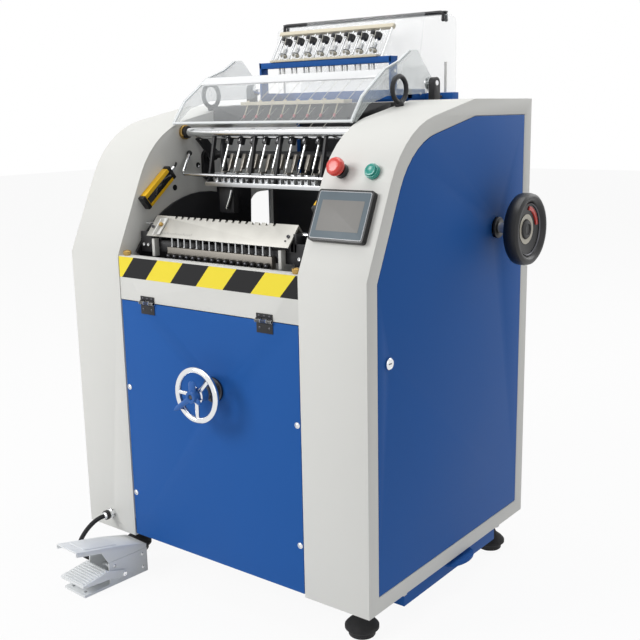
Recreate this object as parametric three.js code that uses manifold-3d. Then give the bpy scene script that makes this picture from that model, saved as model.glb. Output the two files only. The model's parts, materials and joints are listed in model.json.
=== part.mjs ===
// Book sewing machine: two sheet-metal arms stand either side of an open throat.
// A swinging saddle carries each folded sheet up to a row of eight needles,
// eight threads come down from tensioners at the back, and a foot treadle starts each stroke.
// Millimetres, +Z up. X runs to the right along the front, Y runs to the back.
// The body is drawn with its left face at x = 0, its front face at y = 0 and the floor at z = 0.
// At the end everything is moved so that the middle of its footprint is the origin.

import * as THREE from 'three';
import { mergeVertices } from 'three/addons/utils/BufferGeometryUtils.js';
import Module from 'manifold-3d';

const wasm = await Module();
wasm.setup();

// Driving sizes of the body
const armWidth = 165;
const throatWidth = 528;
const bodyDepth = 680;
const floorGap = 90;
const topHeight = 1113;
const headRise = 335;
const slantAngle = 25;
const topSlopeAngle = 11.3;
const crownRadius = 221;
const crestDepth = 407;
const kinkHeight = topHeight - headRise;
const bodyWidth = 2 * armWidth + throatWidth;
const centreX = bodyWidth / 2;
const throatLeft = armWidth;
const throatRight = armWidth + throatWidth;

// Sheet, plate and clearances
const sheet = 3;
const cheek = 12;
const gap = 0.3;
const running = 0.6;
const overrun = 5;
const crownSteps = 7;

// Base frame and feet
const beam = { size: 40, frontY: 80, rearInset: 68, endInset: 10 };
const beamBottom = floorGap + sheet + gap;
const beamTop = beamBottom + beam.size;
const portal = { below: 66, y: 120, inset: 7 };
const foot = {
  pad: 29, cup: 37, neck: 13, stud: 8, padHeight: 14, cupHeight: 24, neckHeight: 50,
  frontX: 75, rearX: 52, inFrame: 30,
};

// Side panels and their seats in the casings
const panel = { inset: 35, lip: 10, slack: 1.5, lipSheet: 2.5 };
const service = { inset: 12, depth: 80, drop: 213, height: 160 };
const cheekWindow = { rearInset: 131, width: 93, drop: 225, height: 103, corner: 46 };

// Front door with its hinges, and the panel above it
const door = { slack: 3, setback: 2, bottomGap: 6, parting: 2, drop: 102, turn: 15 };
const hazardPanel = { flange: 28, turn: 14 };
const hinge = {
  width: 44, inset: 90, barrel: 4, leaf: 1.5, fixedLeaf: 15, doorLeaf: 26, pin: 1.6, slack: 0.4,
};
const doorFace = door.setback;
const hingeAxisY = doorFace - gap - hinge.barrel;
const doorTop = kinkHeight - door.drop;
const hingeAxisZ = doorTop + door.parting / 2;

// Front handwheel, its bearing and the clamp on its hub
const wheel = {
  offset: 21, drop: 170, rim: 62.5, rimThick: 7, reach: 52, shaft: 9, hub: 17, spoke: 4.5, tail: 58,
  coupling: 14.4, couplingLong: 22,
};
const wheelSpokes = [180, 270, 45];
const wheelBearing = { flange: 28, flangeThick: 6, boss: 17, bossReach: 24, neck: 14.5, inner: 12 };
const clamp = {
  hub: 14, bore: 5, thick: 16, boreDeep: 8, armInset: 4, lever: 64, leverWidth: 11, leverAngle: 215,
  paddle: 34, paddleWidth: 20, paddleAngle: 90, lobe: 26, lobeAngle: 330,
};
const gearbox = { width: 100, depth: 96, height: 120, setback: 62, corner: 8 };

// Touch panel and buttons on the slanted face of the right arm
const screen = { width: 132, height: 105, proud: 15, inset: 77, up: 124.5, corner: 6 };
const stopButton = {
  inset: 45, up: 219, cap: 19, capFoot: 15, proud: 35, collar: 15, collarThick: 10, barrel: 11, stem: 6,
  depth: 30, travel: 6, shoulder: 16.2, crown: 9.5,
};
const startButton = {
  inset: 119, up: 219, cap: 12, proud: 14, collar: 15, collarThick: 10, barrel: 11, stem: 6, depth: 30,
  travel: 4, floor: 2,
};

// Head tube and the guide that its hangers carry
const headTube = { y: 230, drop: 63, radius: 10.5, flange: 17, flangeThick: 7, collar: 14, collarThick: 9 };
const hanger = { outer: 165, thick: 6, width: 12, hub: 15, footDepth: 18, footHeight: 6 };
const needle = {
  count: 8, pitch: 38.3, radius: 2.5, lean: 23, y: 220, drop: 152, length: 78, stroke: 45, point: 6,
  pointShare: 0.3,
};
const needleGuide = { y: 210, depth: 22, height: 10, drop: 187, plate: 30, plateThick: 10, plateRise: 21 };
const carriage = { rod: 6, inset: 21, block: 12, blockDeep: 14, grip: 12 };
const rocker = { arm: 60, shaft: 9, armWidth: 24, armThick: 8, inset: 24, slack: 0.9, tip: 4, hub: 15 };

// Swinging saddle with its shaft, sectors, plate and piercing rods
const swing = {
  y: 276, drop: 238, shaft: 15, hub: 32, sector: 276, sectorThick: 6, inset: 7, from: 78, to: 146,
  bracket: 6,
};
const bracketShares = [-0.46, -0.16, 0.16, 0.46];
const saddle = {
  width: 417, apexY: 77, drop: 246, frontY: 40, rearY: 112, skirt: 43, thick: 5,
  notches: 16, pitch: 19.3, notchWide: 7, notchLong: 6, notchDeep: 5.5,
};
const swingBeam = { frontY: 66, rearY: 102, drop: 55, height: 26 };
const piercer = {
  railFrontY: 52, drop: 67, height: 27, rod: 2, rodRise: 27, knob: 6, knobRise: 8, knobLong: 11,
};
const sideGauge = { inset: 35.5, width: 13, lift: 5, thick: 3, fence: 7 };

// Guard rail, light curtains and cover over the needles
const rail = { y: 237, drop: 113, rod: 4, reachY: 47, reachZ: 48, inset: 27, ball: 7, bend: 14 };
const curtain = { y: 125, drop: 188, length: 114, wide: 34, thick: 18, angle: 38 };
const cover = { sheet: 3, ahead: 1, pivotRise: 38, pin: 6, reach: 304 };
const fanShares = [
  [-1, -0.263], [-0.868, -0.092], [-0.599, 0.089], [-0.405, 0.155], [-0.27, 0.23], [-0.171, 0.237],
  [-0.043, 0.115], [0.053, 0.023], [0.053, -0.036], [-0.05, -0.075], [-0.575, -0.095], [-0.8, -0.15],
  [-0.954, -0.27],
];
const visorShares = [[-1, -0.263], [-0.945, -0.17], [-0.868, -0.092], [-0.74, -0.006], [-0.599, 0.089]];
const coverBlock = { width: 16, depth: 26, clearance: 4 };
const eye = { ahead: 62, ring: 27, wire: 5.5, inset: 15, foot: 10, footThick: 9, lift: 3 };

// Take-up wires and the beam behind them
const takeUp = { y: 320, barRise: 5, barHeight: 8, wire: 1.6, wireLong: 30, end: 3, endLong: 8, seat: 12 };
const headBeam = { frontY: 334, depth: 70, height: 42, sleeve: 8, sleeveHeight: 11 };

// Thread rack at the back
const rack = {
  rearInset: 95, depth: 30, rise: 18, overhang: 7, panelRise: 197, panelThick: 5, railRod: 4, railInset: 31,
  corner: 22, hook: 18, tie: 10, stay: 3, footRise: 5, angle: 22,
};
const tieShares = [0, 0.33, 0.67, 1];
const rackSheet = { offset: 129, width: 345, ahead: 70, topBack: 33, topRise: 201, thick: 4 };
const tensionBeam = {
  width: 394, ahead: 135, rise: 93, depth: 26, height: 14, ledge: 5, ledgeDepth: 34, plate: 6, guide: 2.2,
  guideDrop: 22, guideWide: 14, bendShare: 0.8, rail: 10, ledgeWidth: 318, postOut: 12,
};
const tensioner = {
  lean: 34, rise: 72, stem: 3.5, disc: 10, discThick: 3, discAt: 10, knob: 9, knobLong: 14, knobAt: 34,
  dome: 7.5, domeBack: 17, domeAt: 30, plate: 3,
};

// Drive inside the right arm
const drive = {
  rearInset: 165, drop: 284, shaft: 12, pulley: 70, pulleyInset: 52, pulleyWide: 30, bearing: 30,
  bearingLong: 30, motorInset: 250, motorRise: 130, motor: 68, motorLong: 190, motorFlange: 75,
  motorPulley: 30, stub: 11, belt: 22, beltThick: 7, hole: 23, bearingNeck: 20, bearingFlange: 12,
  flangeThick: 12, terminal: 22, pulleyFlange: 5,
};
const sideWheel = { start: 50, end: 88, rim: 80, shaftEnd: 72, discStart: 2, discEnd: 8 };
const sideWheelShares = [
  [0, 0], [0.25, 0], [0.3, 0.2], [0.75, 0.36], [0.83, 0.16], [0.93, 0.1], [1, 0.3], [1, 0.66], [0.95, 0.88],
  [0.85, 1], [0.78, 0.84], [0.72, 0.62], [0.3, 0.48], [0, 0.48],
];

// Control box, gland, lock and the walls behind the throat
const controlBox = { width: 120, depth: 300, rearInset: 130, rise: 110, below: 29 };
const gland = { x: 85, z: 130, nut: 12, body: 9, neck: 7.5, nutLong: 16, tail: 14, depth: 24, mouth: 6.5 };
const lock = {
  y: 73, drop: 170, face: 12, barrel: 9, faceThick: 5, depth: 22, tongue: 33, tongueHigh: 14, slotDeep: 1.5,
  slotLong: 10, slotWide: 2,
};
const rearWall = { setback: 3, turn: 15, topGap: 22 };
const bulkhead = { rearInset: 127, drop: 183, height: 170, turn: 18 };

// Oil tray under the right arm
const tray = {
  frontY: 150, rearInset: 120, length: 345, inset: 13, drop: 3, height: 37, wall: 2.5, flange: 9,
  handleBack: 183, handleHalf: 55, handleReach: 32, handleDrop: 11, handleThick: 5, runner: 3,
};

// Foot pedal and its cord
const pedal = {
  x: 141.8, y: -76.4, turn: 4, width: 80, length: 184, plate: 6, bodyTop: 60, bodyFront: -20, bodyHalf: 40,
  shell: 3.5, ridgeY: 16, hoodBack: 92, hoodFront: 118, hoodReach: 14, hoodSide: 12, hoodStep: 18, lid: 10,
  pivotY: 18, pivotZ: 22, pin: 4, relief: 12, reliefRadius: 9, reliefY: 58, reliefZ: 18,
};
const treadle = { thick: 6, wing: 4, slack: 1.5, hub: 9, frontZ: 30, rearZ: 40, setback: 6, rearGap: 4 };
const cordRadius = 5.5;
const cordSides = 6;
const cordSteps = 42;

// Places that follow from the sizes above
const wheelX = centreX + wheel.offset;
const wheelZ = doorTop - wheel.drop;
const portalTop = wheelZ - portal.below;
const apexZ = topHeight - saddle.drop;
const skirtZ = apexZ - saddle.skirt;
const swingZ = apexZ - swing.drop;
const swingBeamZ = [apexZ - swingBeam.drop - swingBeam.height, apexZ - swingBeam.drop];
const piercerZ = [apexZ - piercer.drop - piercer.height, apexZ - piercer.drop];
const rackY = bodyDepth - rack.rearInset;
const panelTopZ = topHeight + rack.panelRise;
const sheetFootY = rackY - rackSheet.ahead;
const tensionY = rackY - tensionBeam.ahead;
const takeUpTop = topHeight + takeUp.barRise;
const eyeY = crestDepth - eye.ahead;
const driveAt = [bodyDepth - drive.rearInset, topHeight - drive.drop];
const motorAt = [bodyDepth - drive.motorInset, floorGap + drive.motorRise];
const lockZ = kinkHeight - lock.drop;
const trayY = [tray.frontY, bodyDepth - tray.rearInset];
const trayZ = [floorGap - tray.drop - tray.height, floorGap - tray.drop];

// Finishes
function finish(color, metalness, roughness) {
  return new THREE.MeshStandardMaterial({ color, metalness, roughness, flatShading: true });
}
const bluePaint = () => finish(0x2f7fc4, 0.1, 0.45);
const whitePaint = () => finish(0xe9e8e3, 0.1, 0.5);
const castAluminium = () => finish(0xc9cccd, 0.6, 0.5);
const greyPaint = () => finish(0x6d7378, 0.2, 0.5);
const blackPaint = () => finish(0x1d1e20, 0.2, 0.5);
const blackPlastic = () => finish(0x17181a, 0.0, 0.45);
const steel = () => finish(0xb9bcbf, 1.0, 0.35);
const chrome = () => finish(0xe4e6e8, 1.0, 0.12);
const rubber = () => finish(0x121314, 0.0, 0.85);
const clearPlastic = () => finish(0xdfe9ee, 0.0, 0.1);

// Every shape below is a geometry, or a solid once it has been joined or cut
function asSolid(shape) {
  if (!shape.isBufferGeometry) {
    return shape;
  }
  const bare = shape.clone();
  bare.deleteAttribute('normal');
  bare.deleteAttribute('uv');
  const merged = mergeVertices(bare);
  const positions = merged.getAttribute('position').array;
  const corners = merged.index.array;
  const faces = [];
  let volume = 0;
  const a = new THREE.Vector3();
  const b = new THREE.Vector3();
  const c = new THREE.Vector3();
  for (let i = 0; i < corners.length; i += 3) {
    const [p, q, r] = [corners[i], corners[i + 1], corners[i + 2]];
    if (p === q || q === r || r === p) {
      continue;
    }
    faces.push([p, q, r]);
    a.fromArray(positions, 3 * p);
    b.fromArray(positions, 3 * q);
    c.fromArray(positions, 3 * r);
    volume += a.dot(b.cross(c));
  }
  const outward = volume > 0 ? faces : faces.map(([p, q, r]) => [p, r, q]);
  return new wasm.Manifold(new wasm.Mesh({
    numProp: 3,
    vertProperties: new Float32Array(positions),
    triVerts: new Uint32Array(outward.flat()),
  }));
}

function join(...shapes) {
  return shapes.map(asSolid).reduce((sum, shape) => sum.add(shape));
}

function cut(base, ...tools) {
  return tools.map(asSolid).reduce((rest, tool) => rest.subtract(tool), asSolid(base));
}

function node(name, shape, material) {
  const { vertProperties, triVerts } = asSolid(shape).getMesh();
  const geometry = new THREE.BufferGeometry();
  geometry.setAttribute('position', new THREE.BufferAttribute(new Float32Array(vertProperties), 3));
  geometry.setIndex(new THREE.BufferAttribute(new Uint32Array(triVerts), 1));
  geometry.computeVertexNormals();
  const mesh = new THREE.Mesh(geometry, material);
  mesh.name = name;
  return mesh;
}

const radians = THREE.MathUtils.degToRad;
const alongX = new THREE.Vector3(1, 0, 0);
const alongY = new THREE.Vector3(0, 1, 0);
const alongZ = new THREE.Vector3(0, 0, 1);
const towardsFront = new THREE.Vector3(0, -1, 0);

function extruded(outline, length) {
  const shape = new THREE.Shape(outline.map(([across, up]) => new THREE.Vector2(across, up)));
  return new THREE.ExtrudeGeometry(shape, { depth: length, bevelEnabled: false });
}

// An outline of [y, z] points, run along X
function prismX(outline, fromX, toX) {
  const turn = new THREE.Matrix4().makeBasis(alongY, alongZ, alongX);
  return extruded(outline, toX - fromX).applyMatrix4(turn).translate(fromX, 0, 0);
}

// An outline of [x, z] points, run along Y
function prismY(outline, fromY, toY) {
  const turn = new THREE.Matrix4().makeBasis(alongX, alongZ, towardsFront);
  return extruded(outline, toY - fromY).applyMatrix4(turn).translate(0, toY, 0);
}

// An outline of [x, y] points, run along Z
function prismZ(outline, fromZ, toZ) {
  return extruded(outline, toZ - fromZ).translate(0, 0, fromZ);
}

function box([fromX, toX], [fromY, toY], [fromZ, toZ]) {
  const block = new THREE.BoxGeometry(toX - fromX, toY - fromY, toZ - fromZ);
  return block.translate((fromX + toX) / 2, (fromY + toY) / 2, (fromZ + toZ) / 2);
}

function rod(from, to, radius, sides = 12) {
  const start = new THREE.Vector3(...from);
  const end = new THREE.Vector3(...to);
  const way = end.clone().sub(start);
  const turn = new THREE.Quaternion().setFromUnitVectors(alongY, way.clone().normalize());
  const bar = new THREE.CylinderGeometry(radius, radius, way.length(), sides);
  const middle = start.add(end).multiplyScalar(0.5);
  return bar.applyQuaternion(turn).translate(middle.x, middle.y, middle.z);
}

// A round hole: its flats, not its corners, lie at the given radius
function bore(from, to, radius, sides = 16) {
  return rod(from, to, radius / Math.cos(Math.PI / sides), sides);
}

// A turned piece: [radius, distance along the axis] points, closed on the axis or on themselves
function turned(profile, origin, axis, sides = 24) {
  const closed = profile[0][0] === 0 ? profile : [...profile, profile[0]];
  const points = closed.map(([radius, along]) => new THREE.Vector2(radius, along));
  const turn = new THREE.Quaternion().setFromUnitVectors(alongY, axis);
  return new THREE.LatheGeometry(points, sides).applyQuaternion(turn).translate(...origin);
}

function ring(outer, inner, length, origin, axis, sides = 24) {
  return turned([[inner, 0], [outer, 0], [outer, length], [inner, length]], origin, axis, sides);
}

function ball(origin, radius, sides = 12) {
  return new THREE.SphereGeometry(radius, sides, sides / 2).rotateX(Math.PI / 2).translate(...origin);
}

function arc([across, up], radius, fromAngle, toAngle, steps) {
  return Array.from({ length: steps + 1 }, (unused, i) => {
    const angle = radians(fromAngle + ((toAngle - fromAngle) * i) / steps);
    return [across + radius * Math.cos(angle), up + radius * Math.sin(angle)];
  });
}

// A box outline with round corners
function roundedBox([fromAcross, toAcross], [fromUp, toUp], radius, steps = 3) {
  const [left, right] = [fromAcross + radius, toAcross - radius];
  const [low, high] = [fromUp + radius, toUp - radius];
  return [
    ...arc([left, low], radius, 180, 270, steps),
    ...arc([right, low], radius, 270, 360, steps),
    ...arc([right, high], radius, 0, 90, steps),
    ...arc([left, high], radius, 90, 180, steps),
  ];
}

// A bar outline with half-round ends from one point to another
function slotOutline([startAcross, startUp], [endAcross, endUp], radius, steps = 6) {
  const heading = THREE.MathUtils.radToDeg(Math.atan2(endUp - startUp, endAcross - startAcross));
  return [
    ...arc([endAcross, endUp], radius, heading - 90, heading + 90, steps),
    ...arc([startAcross, startUp], radius, heading + 90, heading + 270, steps),
  ];
}

// A path through given places, with a ring of the tube at each of them
class BentPath extends THREE.Curve {
  constructor(places) {
    super();
    this.places = places;
  }

  getPoint(share) {
    return this.places[Math.round(share * (this.places.length - 1))].clone();
  }

  getPointAt(share) {
    return this.getPoint(share);
  }

  getTangentAt(share) {
    const i = Math.round(share * (this.places.length - 1));
    const here = this.places[i];
    const before = this.places[Math.max(i - 1, 0)];
    const after = this.places[Math.min(i + 1, this.places.length - 1)];
    const arriving = here.clone().sub(before).normalize();
    const leaving = after.clone().sub(here).normalize();
    return arriving.add(leaving).normalize();
  }
}

function tubeAlong(places, radius, sides) {
  const section = new THREE.Shape(arc([0, 0], radius, 0, 360, sides).slice(1)
    .map(([across, up]) => new THREE.Vector2(across, up)));
  const path = new BentPath(places);
  const options = { steps: places.length - 1, extrudePath: path, bevelEnabled: false };
  return new THREE.ExtrudeGeometry(section, options);
}

// A bent rod: straight between corners, with each corner rounded
function bentRod(corners, radius, bend, sides = 10, steps = 4) {
  const points = corners.map((corner) => new THREE.Vector3(...corner));
  const places = [points[0]];
  for (let i = 1; i < points.length - 1; i += 1) {
    const start = points[i - 1].clone().sub(points[i]).setLength(bend).add(points[i]);
    const end = points[i + 1].clone().sub(points[i]).setLength(bend).add(points[i]);
    const corner = new THREE.QuadraticBezierCurve3(start, points[i], end);
    places.push(...corner.getPoints(steps));
  }
  places.push(points[points.length - 1]);
  return tubeAlong(places, radius, sides);
}

// The same stretch of X counted from the left face or, mirrored, from the right face
function span(side, from, to) {
  return side === 'left' ? [from, to] : [bodyWidth - to, bodyWidth - from];
}

function across(side, fromLeft) {
  return side === 'left' ? fromLeft : bodyWidth - fromLeft;
}

// Side outline of the body: upright front, slanted face, round crown, sloping and level top
function edge(point, heading, inset) {
  const along = [Math.cos(radians(heading)), Math.sin(radians(heading))];
  return { point: [point[0] + along[1] * inset, point[1] - along[0] * inset], along };
}

function meet(first, second) {
  const [dy, dz] = [second.point[0] - first.point[0], second.point[1] - first.point[1]];
  const turn = first.along[0] * second.along[1] - first.along[1] * second.along[0];
  const reach = (dy * second.along[1] - dz * second.along[0]) / turn;
  return [first.point[0] + first.along[0] * reach, first.point[1] + first.along[1] * reach];
}

const slantHeading = 90 - slantAngle;
const kink = [0, kinkHeight];
const crest = [crestDepth, topHeight];
const crownCentre = meet(edge(kink, slantHeading, crownRadius), edge(crest, topSlopeAngle, crownRadius));

function profile(inset, bottom = floorGap + inset) {
  const front = edge(kink, 90, inset);
  const slant = edge(kink, slantHeading, inset);
  const slope = edge(crest, topSlopeAngle, inset);
  const level = edge(crest, 0, inset);
  const crown = arc(crownCentre, crownRadius - inset, 90 + slantHeading, 90 + topSlopeAngle, crownSteps);
  return [
    [inset, bottom],
    meet(front, slant),
    ...crown,
    meet(slope, level),
    [bodyDepth - inset, topHeight - inset],
    [bodyDepth - inset, bottom],
  ];
}

// The slanted face: x along the front, y up the slant, z out of the face
const slantMatrix = new THREE.Matrix4()
  .makeRotationX(radians(slantHeading))
  .setPosition(0, 0, kinkHeight);

function onSlant(shape) {
  return shape.applyMatrix4(slantMatrix);
}

// Body: base frame, feet, casings, cheeks and panels
const casingWall = sheet + gap + panel.lipSheet;
const cheekInner = armWidth - cheek;
const footPlaces = ['left', 'right'].flatMap((side) => [
  [across(side, foot.frontX), beam.frontY],
  [across(side, foot.rearX), bodyDepth - beam.rearInset],
]);

function footHole([x, y]) {
  const top = beamBottom + foot.inFrame + gap;
  return bore([x, y, floorGap - overrun], [x, y, top], foot.stud + gap);
}

function around(middle, size) {
  return [middle - size / 2, middle + size / 2];
}

function baseFrame() {
  const height = [beamBottom, beamTop];
  const full = [casingWall + gap, bodyWidth - casingWall - gap];
  const run = [2 * beam.endInset, bodyDepth - 2 * beam.endInset];
  const portalY = around(portal.y, beam.size);
  const portalEnds = ['left', 'right'].map((side) => {
    const postStart = throatLeft + portal.inset;
    return box(span(side, postStart, postStart + beam.size), portalY, [beamBottom, portalTop]);
  });
  const crossBeams = ['left', 'right'].map((side) => {
    return box(around(across(side, throatLeft - cheek / 2), beam.size), run, height);
  });
  const whole = join(
    box(full, around(beam.frontY, beam.size), height),
    box(full, around(bodyDepth - beam.rearInset, beam.size), height),
    ...crossBeams,
    ...portalEnds,
    box(
      [throatLeft + portal.inset, throatRight - portal.inset],
      portalY,
      [portalTop - beam.size, portalTop],
    ),
  );
  return cut(whole, ...footPlaces.map(footHole));
}

function levellingFoot([x, y]) {
  const top = beamBottom + foot.inFrame;
  const shape = [
    [0, 0], [foot.pad, 0], [foot.pad, foot.padHeight], [foot.cup, foot.padHeight], [foot.cup, foot.cupHeight],
    [foot.neck, foot.neckHeight], [foot.stud, foot.neckHeight], [foot.stud, top], [0, top],
  ];
  return turned(shape, [x, y, 0], alongZ, 20);
}

function buttonHole({ inset, up, barrel }) {
  const x = throatRight + inset;
  return onSlant(bore([x, up, -casingWall - overrun], [x, up, overrun], barrel + gap));
}

function casing(side) {
  const shell = prismX(profile(0), ...span(side, 0, armWidth));
  const hollow = prismX(profile(sheet), ...span(side, casingWall, armWidth + overrun));
  const recess = prismX(profile(panel.inset), ...span(side, -overrun, sheet + gap));
  const opening = prismX(profile(panel.inset + panel.lip), ...span(side, 0, casingWall + overrun));
  return cut(shell, hollow, recess, opening, ...footPlaces.map(footHole));
}

function leftCasing() {
  const glandHole = bore([gland.x, -overrun, gland.z], [gland.x, sheet + overrun, gland.z], gland.neck + gap);
  return cut(casing('left'), glandHole, serviceHole());
}

// The opening goes round the rear left corner, through the casing and its side panel
function serviceHole() {
  return box(
    [-overrun, cheekInner - service.inset],
    [bodyDepth - service.depth, bodyDepth + overrun],
    [topHeight - service.drop - service.height, topHeight - service.drop],
  );
}

// The runners under the right casing carry the flanges of the oil tray
function rightCasing() {
  const runnerTop = floorGap;
  const flangeBottom = trayZ[1] - tray.wall;
  const x = [throatRight, bodyWidth - casingWall];
  const runner = (edgeY, outward) => {
    const web = edgeY + outward * (tray.flange + running);
    const webEnd = web + outward * tray.runner;
    const lip = edgeY + outward * running;
    const lipHeight = [flangeBottom - gap - tray.runner, flangeBottom - gap];
    return join(
      box(x, [Math.min(web, webEnd), Math.max(web, webEnd)], [lipHeight[0], runnerTop + gap]),
      box(x, [Math.min(lip, webEnd), Math.max(lip, webEnd)], lipHeight),
    );
  };
  const holes = [stopButton, startButton].map(buttonHole);
  return join(cut(casing('right'), ...holes), runner(trayY[0], -1), runner(trayY[1], 1));
}

function sidePanel(side) {
  return prismX(profile(panel.inset + panel.slack), ...span(side, 0, sheet));
}

function rightSidePanel() {
  const through = ([y, z], radius) => {
    return bore([bodyWidth - sheet - overrun, y, z], [bodyWidth + overrun, y, z], radius);
  };
  return cut(
    sidePanel('right'),
    through(driveAt, drive.hole),
    through([lock.y, lockZ], lock.barrel + gap),
  );
}

// Places in the cheeks that the head turns on
const tubeZ = topHeight - headTube.drop;
const needleAxis = [Math.sin(radians(needle.lean)), Math.cos(radians(needle.lean))];
const needleTip = [needle.y, topHeight - needle.drop];

function alongNeedle(distance, sideways = 0) {
  return [
    needleTip[0] + distance * needleAxis[0] + sideways * needleAxis[1],
    needleTip[1] + distance * needleAxis[1] - sideways * needleAxis[0],
  ];
}

const rodReach = needle.length + carriage.rod + running;
const rockerPivot = alongNeedle(rodReach - needle.stroke / 2, rocker.arm);

function cheekPlate(side) {
  const plate = prismX(profile(sheet + gap, beamTop + gap), ...span(side, cheekInner, armWidth));
  const [start, end] = span(side, cheekInner - overrun, armWidth + overrun);
  const through = ([y, z], radius) => bore([start, y, z], [end, y, z], radius + gap);
  const bossed = side === 'right' ? join(plate, shaftBoss()) : plate;
  const [boreStart, boreEnd] = [start, throatRight + cheek + drive.bearingLong + overrun];
  const both = [
    through([headTube.y, tubeZ], headTube.radius),
    through(rockerPivot, rocker.shaft),
    through([swing.y, swingZ], swing.shaft),
  ];
  if (side === 'right') {
    both.push(
      bore([boreStart, ...driveAt], [boreEnd, ...driveAt], drive.shaft + gap, 24),
      through(motorAt, drive.stub),
    );
  } else {
    const { width, height, corner } = cheekWindow;
    const [rear, top] = [bodyDepth - cheekWindow.rearInset, topHeight - cheekWindow.drop];
    const outline = [
      [rear - width, top - height],
      [rear, top - height],
      [rear, top],
      ...arc([rear - width + corner, top - corner], corner, 90, 180, 5),
    ];
    both.push(prismX(outline, start, end));
  }
  return cut(bossed, ...both);
}

function frontUpperPanel() {
  const x = [throatLeft + gap, throatRight - gap];
  const bottom = doorTop + door.parting;
  const turnedIn = ['left', 'right'].map((side) => {
    const edgeX = span(side, throatLeft + gap, throatLeft + gap + sheet);
    return box(edgeX, [doorFace, doorFace + hazardPanel.turn], [bottom, kinkHeight]);
  });
  const panelBody = join(
    box(x, [doorFace, doorFace + sheet], [bottom, kinkHeight]),
    box(x, [doorFace, doorFace + hazardPanel.flange], [kinkHeight - sheet, kinkHeight]),
    ...turnedIn,
  );
  return join(panelBody, ...hingePlaces.map(fixedHinge));
}

function rearPanel() {
  const back = bodyDepth - rearWall.setback;
  const x = [throatLeft + gap, throatRight - gap];
  const z = [floorGap + door.bottomGap, topHeight - rearWall.topGap];
  const turnedIn = ['left', 'right'].map((side) => {
    return box(span(side, throatLeft + gap, throatLeft + gap + sheet), [back - rearWall.turn, back], z);
  });
  return join(box(x, [back - sheet, back], z), ...turnedIn);
}

function rearBulkhead() {
  const front = bodyDepth - bulkhead.rearInset;
  const top = topHeight - bulkhead.drop;
  const z = [top - bulkhead.height, top];
  const turnedBack = ['left', 'right'].map((side) => {
    return box(span(side, throatLeft + gap, throatLeft + gap + sheet), [front, front + bulkhead.turn], z);
  });
  const plate = box([throatLeft + gap, throatRight - gap], [front, front + sheet], z);
  return join(plate, ...turnedBack);
}

// Front door, its hinges and what it carries
const doorX = [throatLeft + door.slack, throatRight - door.slack];
const doorBottom = floorGap + door.bottomGap;

function frontDoor() {
  const outer = box(doorX, [doorFace, doorFace + door.turn], [doorBottom, doorTop]);
  const inner = box(
    [doorX[0] + sheet, doorX[1] - sheet],
    [doorFace + sheet, doorFace + door.turn + overrun],
    [doorBottom + sheet, doorTop - sheet],
  );
  const hole = bore(
    [wheelX, doorFace - overrun, wheelZ],
    [wheelX, doorFace + sheet + overrun, wheelZ],
    wheelBearing.neck + gap,
    24,
  );
  return join(cut(outer, inner, hole), ...hingePlaces.map(doorHinge));
}

const hingePlaces = ['left', 'right'].map((side) => across(side, throatLeft + hinge.inset));
const leafY = [doorFace - hinge.leaf, doorFace + running];

function knuckle(fromX, toX, radius) {
  return rod([fromX, hingeAxisY, hingeAxisZ], [toX, hingeAxisY, hingeAxisZ], radius, 14);
}

// The fixed leaf is welded to the upper panel and carries the pin
function fixedHinge(x) {
  const [start, end] = around(x, hinge.width);
  const third = hinge.width / 3;
  const plateZ = [hingeAxisZ + hinge.barrel + hinge.slack, hingeAxisZ + hinge.fixedLeaf];
  const ends = [[start, start + third - hinge.slack], [end - third + hinge.slack, end]];
  const tabs = ends.flatMap(([from, to]) => [
    box([from, to], leafY, [hingeAxisZ, plateZ[1]]),
    knuckle(from, to, hinge.barrel),
  ]);
  return join(box([start, end], leafY, plateZ), ...tabs, knuckle(start, end, hinge.pin));
}

// The moving leaf is welded to the door, with its knuckle between the two fixed ones
function doorHinge(x) {
  const [start, end] = around(x, hinge.width);
  const third = hinge.width / 3;
  const middle = [start + third, end - third];
  const plateTop = hingeAxisZ - hinge.barrel - hinge.slack;
  const leaf = join(
    box([start, end], leafY, [hingeAxisZ - hinge.doorLeaf, plateTop]),
    box(middle, leafY, [plateTop - hinge.leaf, hingeAxisZ]),
    knuckle(...middle, hinge.barrel),
  );
  return cut(leaf, knuckle(start, end, hinge.pin + hinge.slack));
}

function wheelBearingBody() {
  const { flange, flangeThick, boss, bossReach, neck, inner } = wheelBearing;
  const inside = wheel.shaft + gap;
  const face = gap + flangeThick;
  const shape = [
    [inside, -inner], [neck, -inner], [neck, gap], [flange, gap], [flange, face], [boss, face + running],
    [boss, bossReach], [inside, bossReach],
  ];
  return turned(shape, [wheelX, doorFace, wheelZ], towardsFront, 24);
}

// Rim, three spokes and a hub on a shaft that reaches back to the gearbox coupling
function frontHandwheel() {
  const rimY = doorFace - wheel.reach;
  const rim = new THREE.TorusGeometry(wheel.rim - wheel.rimThick, wheel.rimThick, 8, 28)
    .rotateX(Math.PI / 2)
    .translate(wheelX, rimY, wheelZ);
  const spokes = wheelSpokes.map((angle) => {
    const reach = wheel.rim - wheel.rimThick;
    const [tipX, tipZ] = arc([wheelX, wheelZ], reach, angle, angle, 1)[0];
    return rod([wheelX, rimY, wheelZ], [tipX, rimY, tipZ], wheel.spoke, 10);
  });
  const hubStart = wheelBearing.bossReach + running;
  const shape = [
    [0, -wheel.tail], [wheel.coupling, -wheel.tail], [wheel.coupling, wheel.couplingLong - wheel.tail],
    [wheel.shaft, wheel.couplingLong - wheel.tail], [wheel.shaft, hubStart], [wheel.hub, hubStart],
    [wheel.hub, wheel.reach + wheel.spoke + running], [0, wheel.reach + wheel.spoke + running],
  ];
  return join(rim, ...spokes, turned(shape, [wheelX, doorFace, wheelZ], towardsFront, 24));
}

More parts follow.
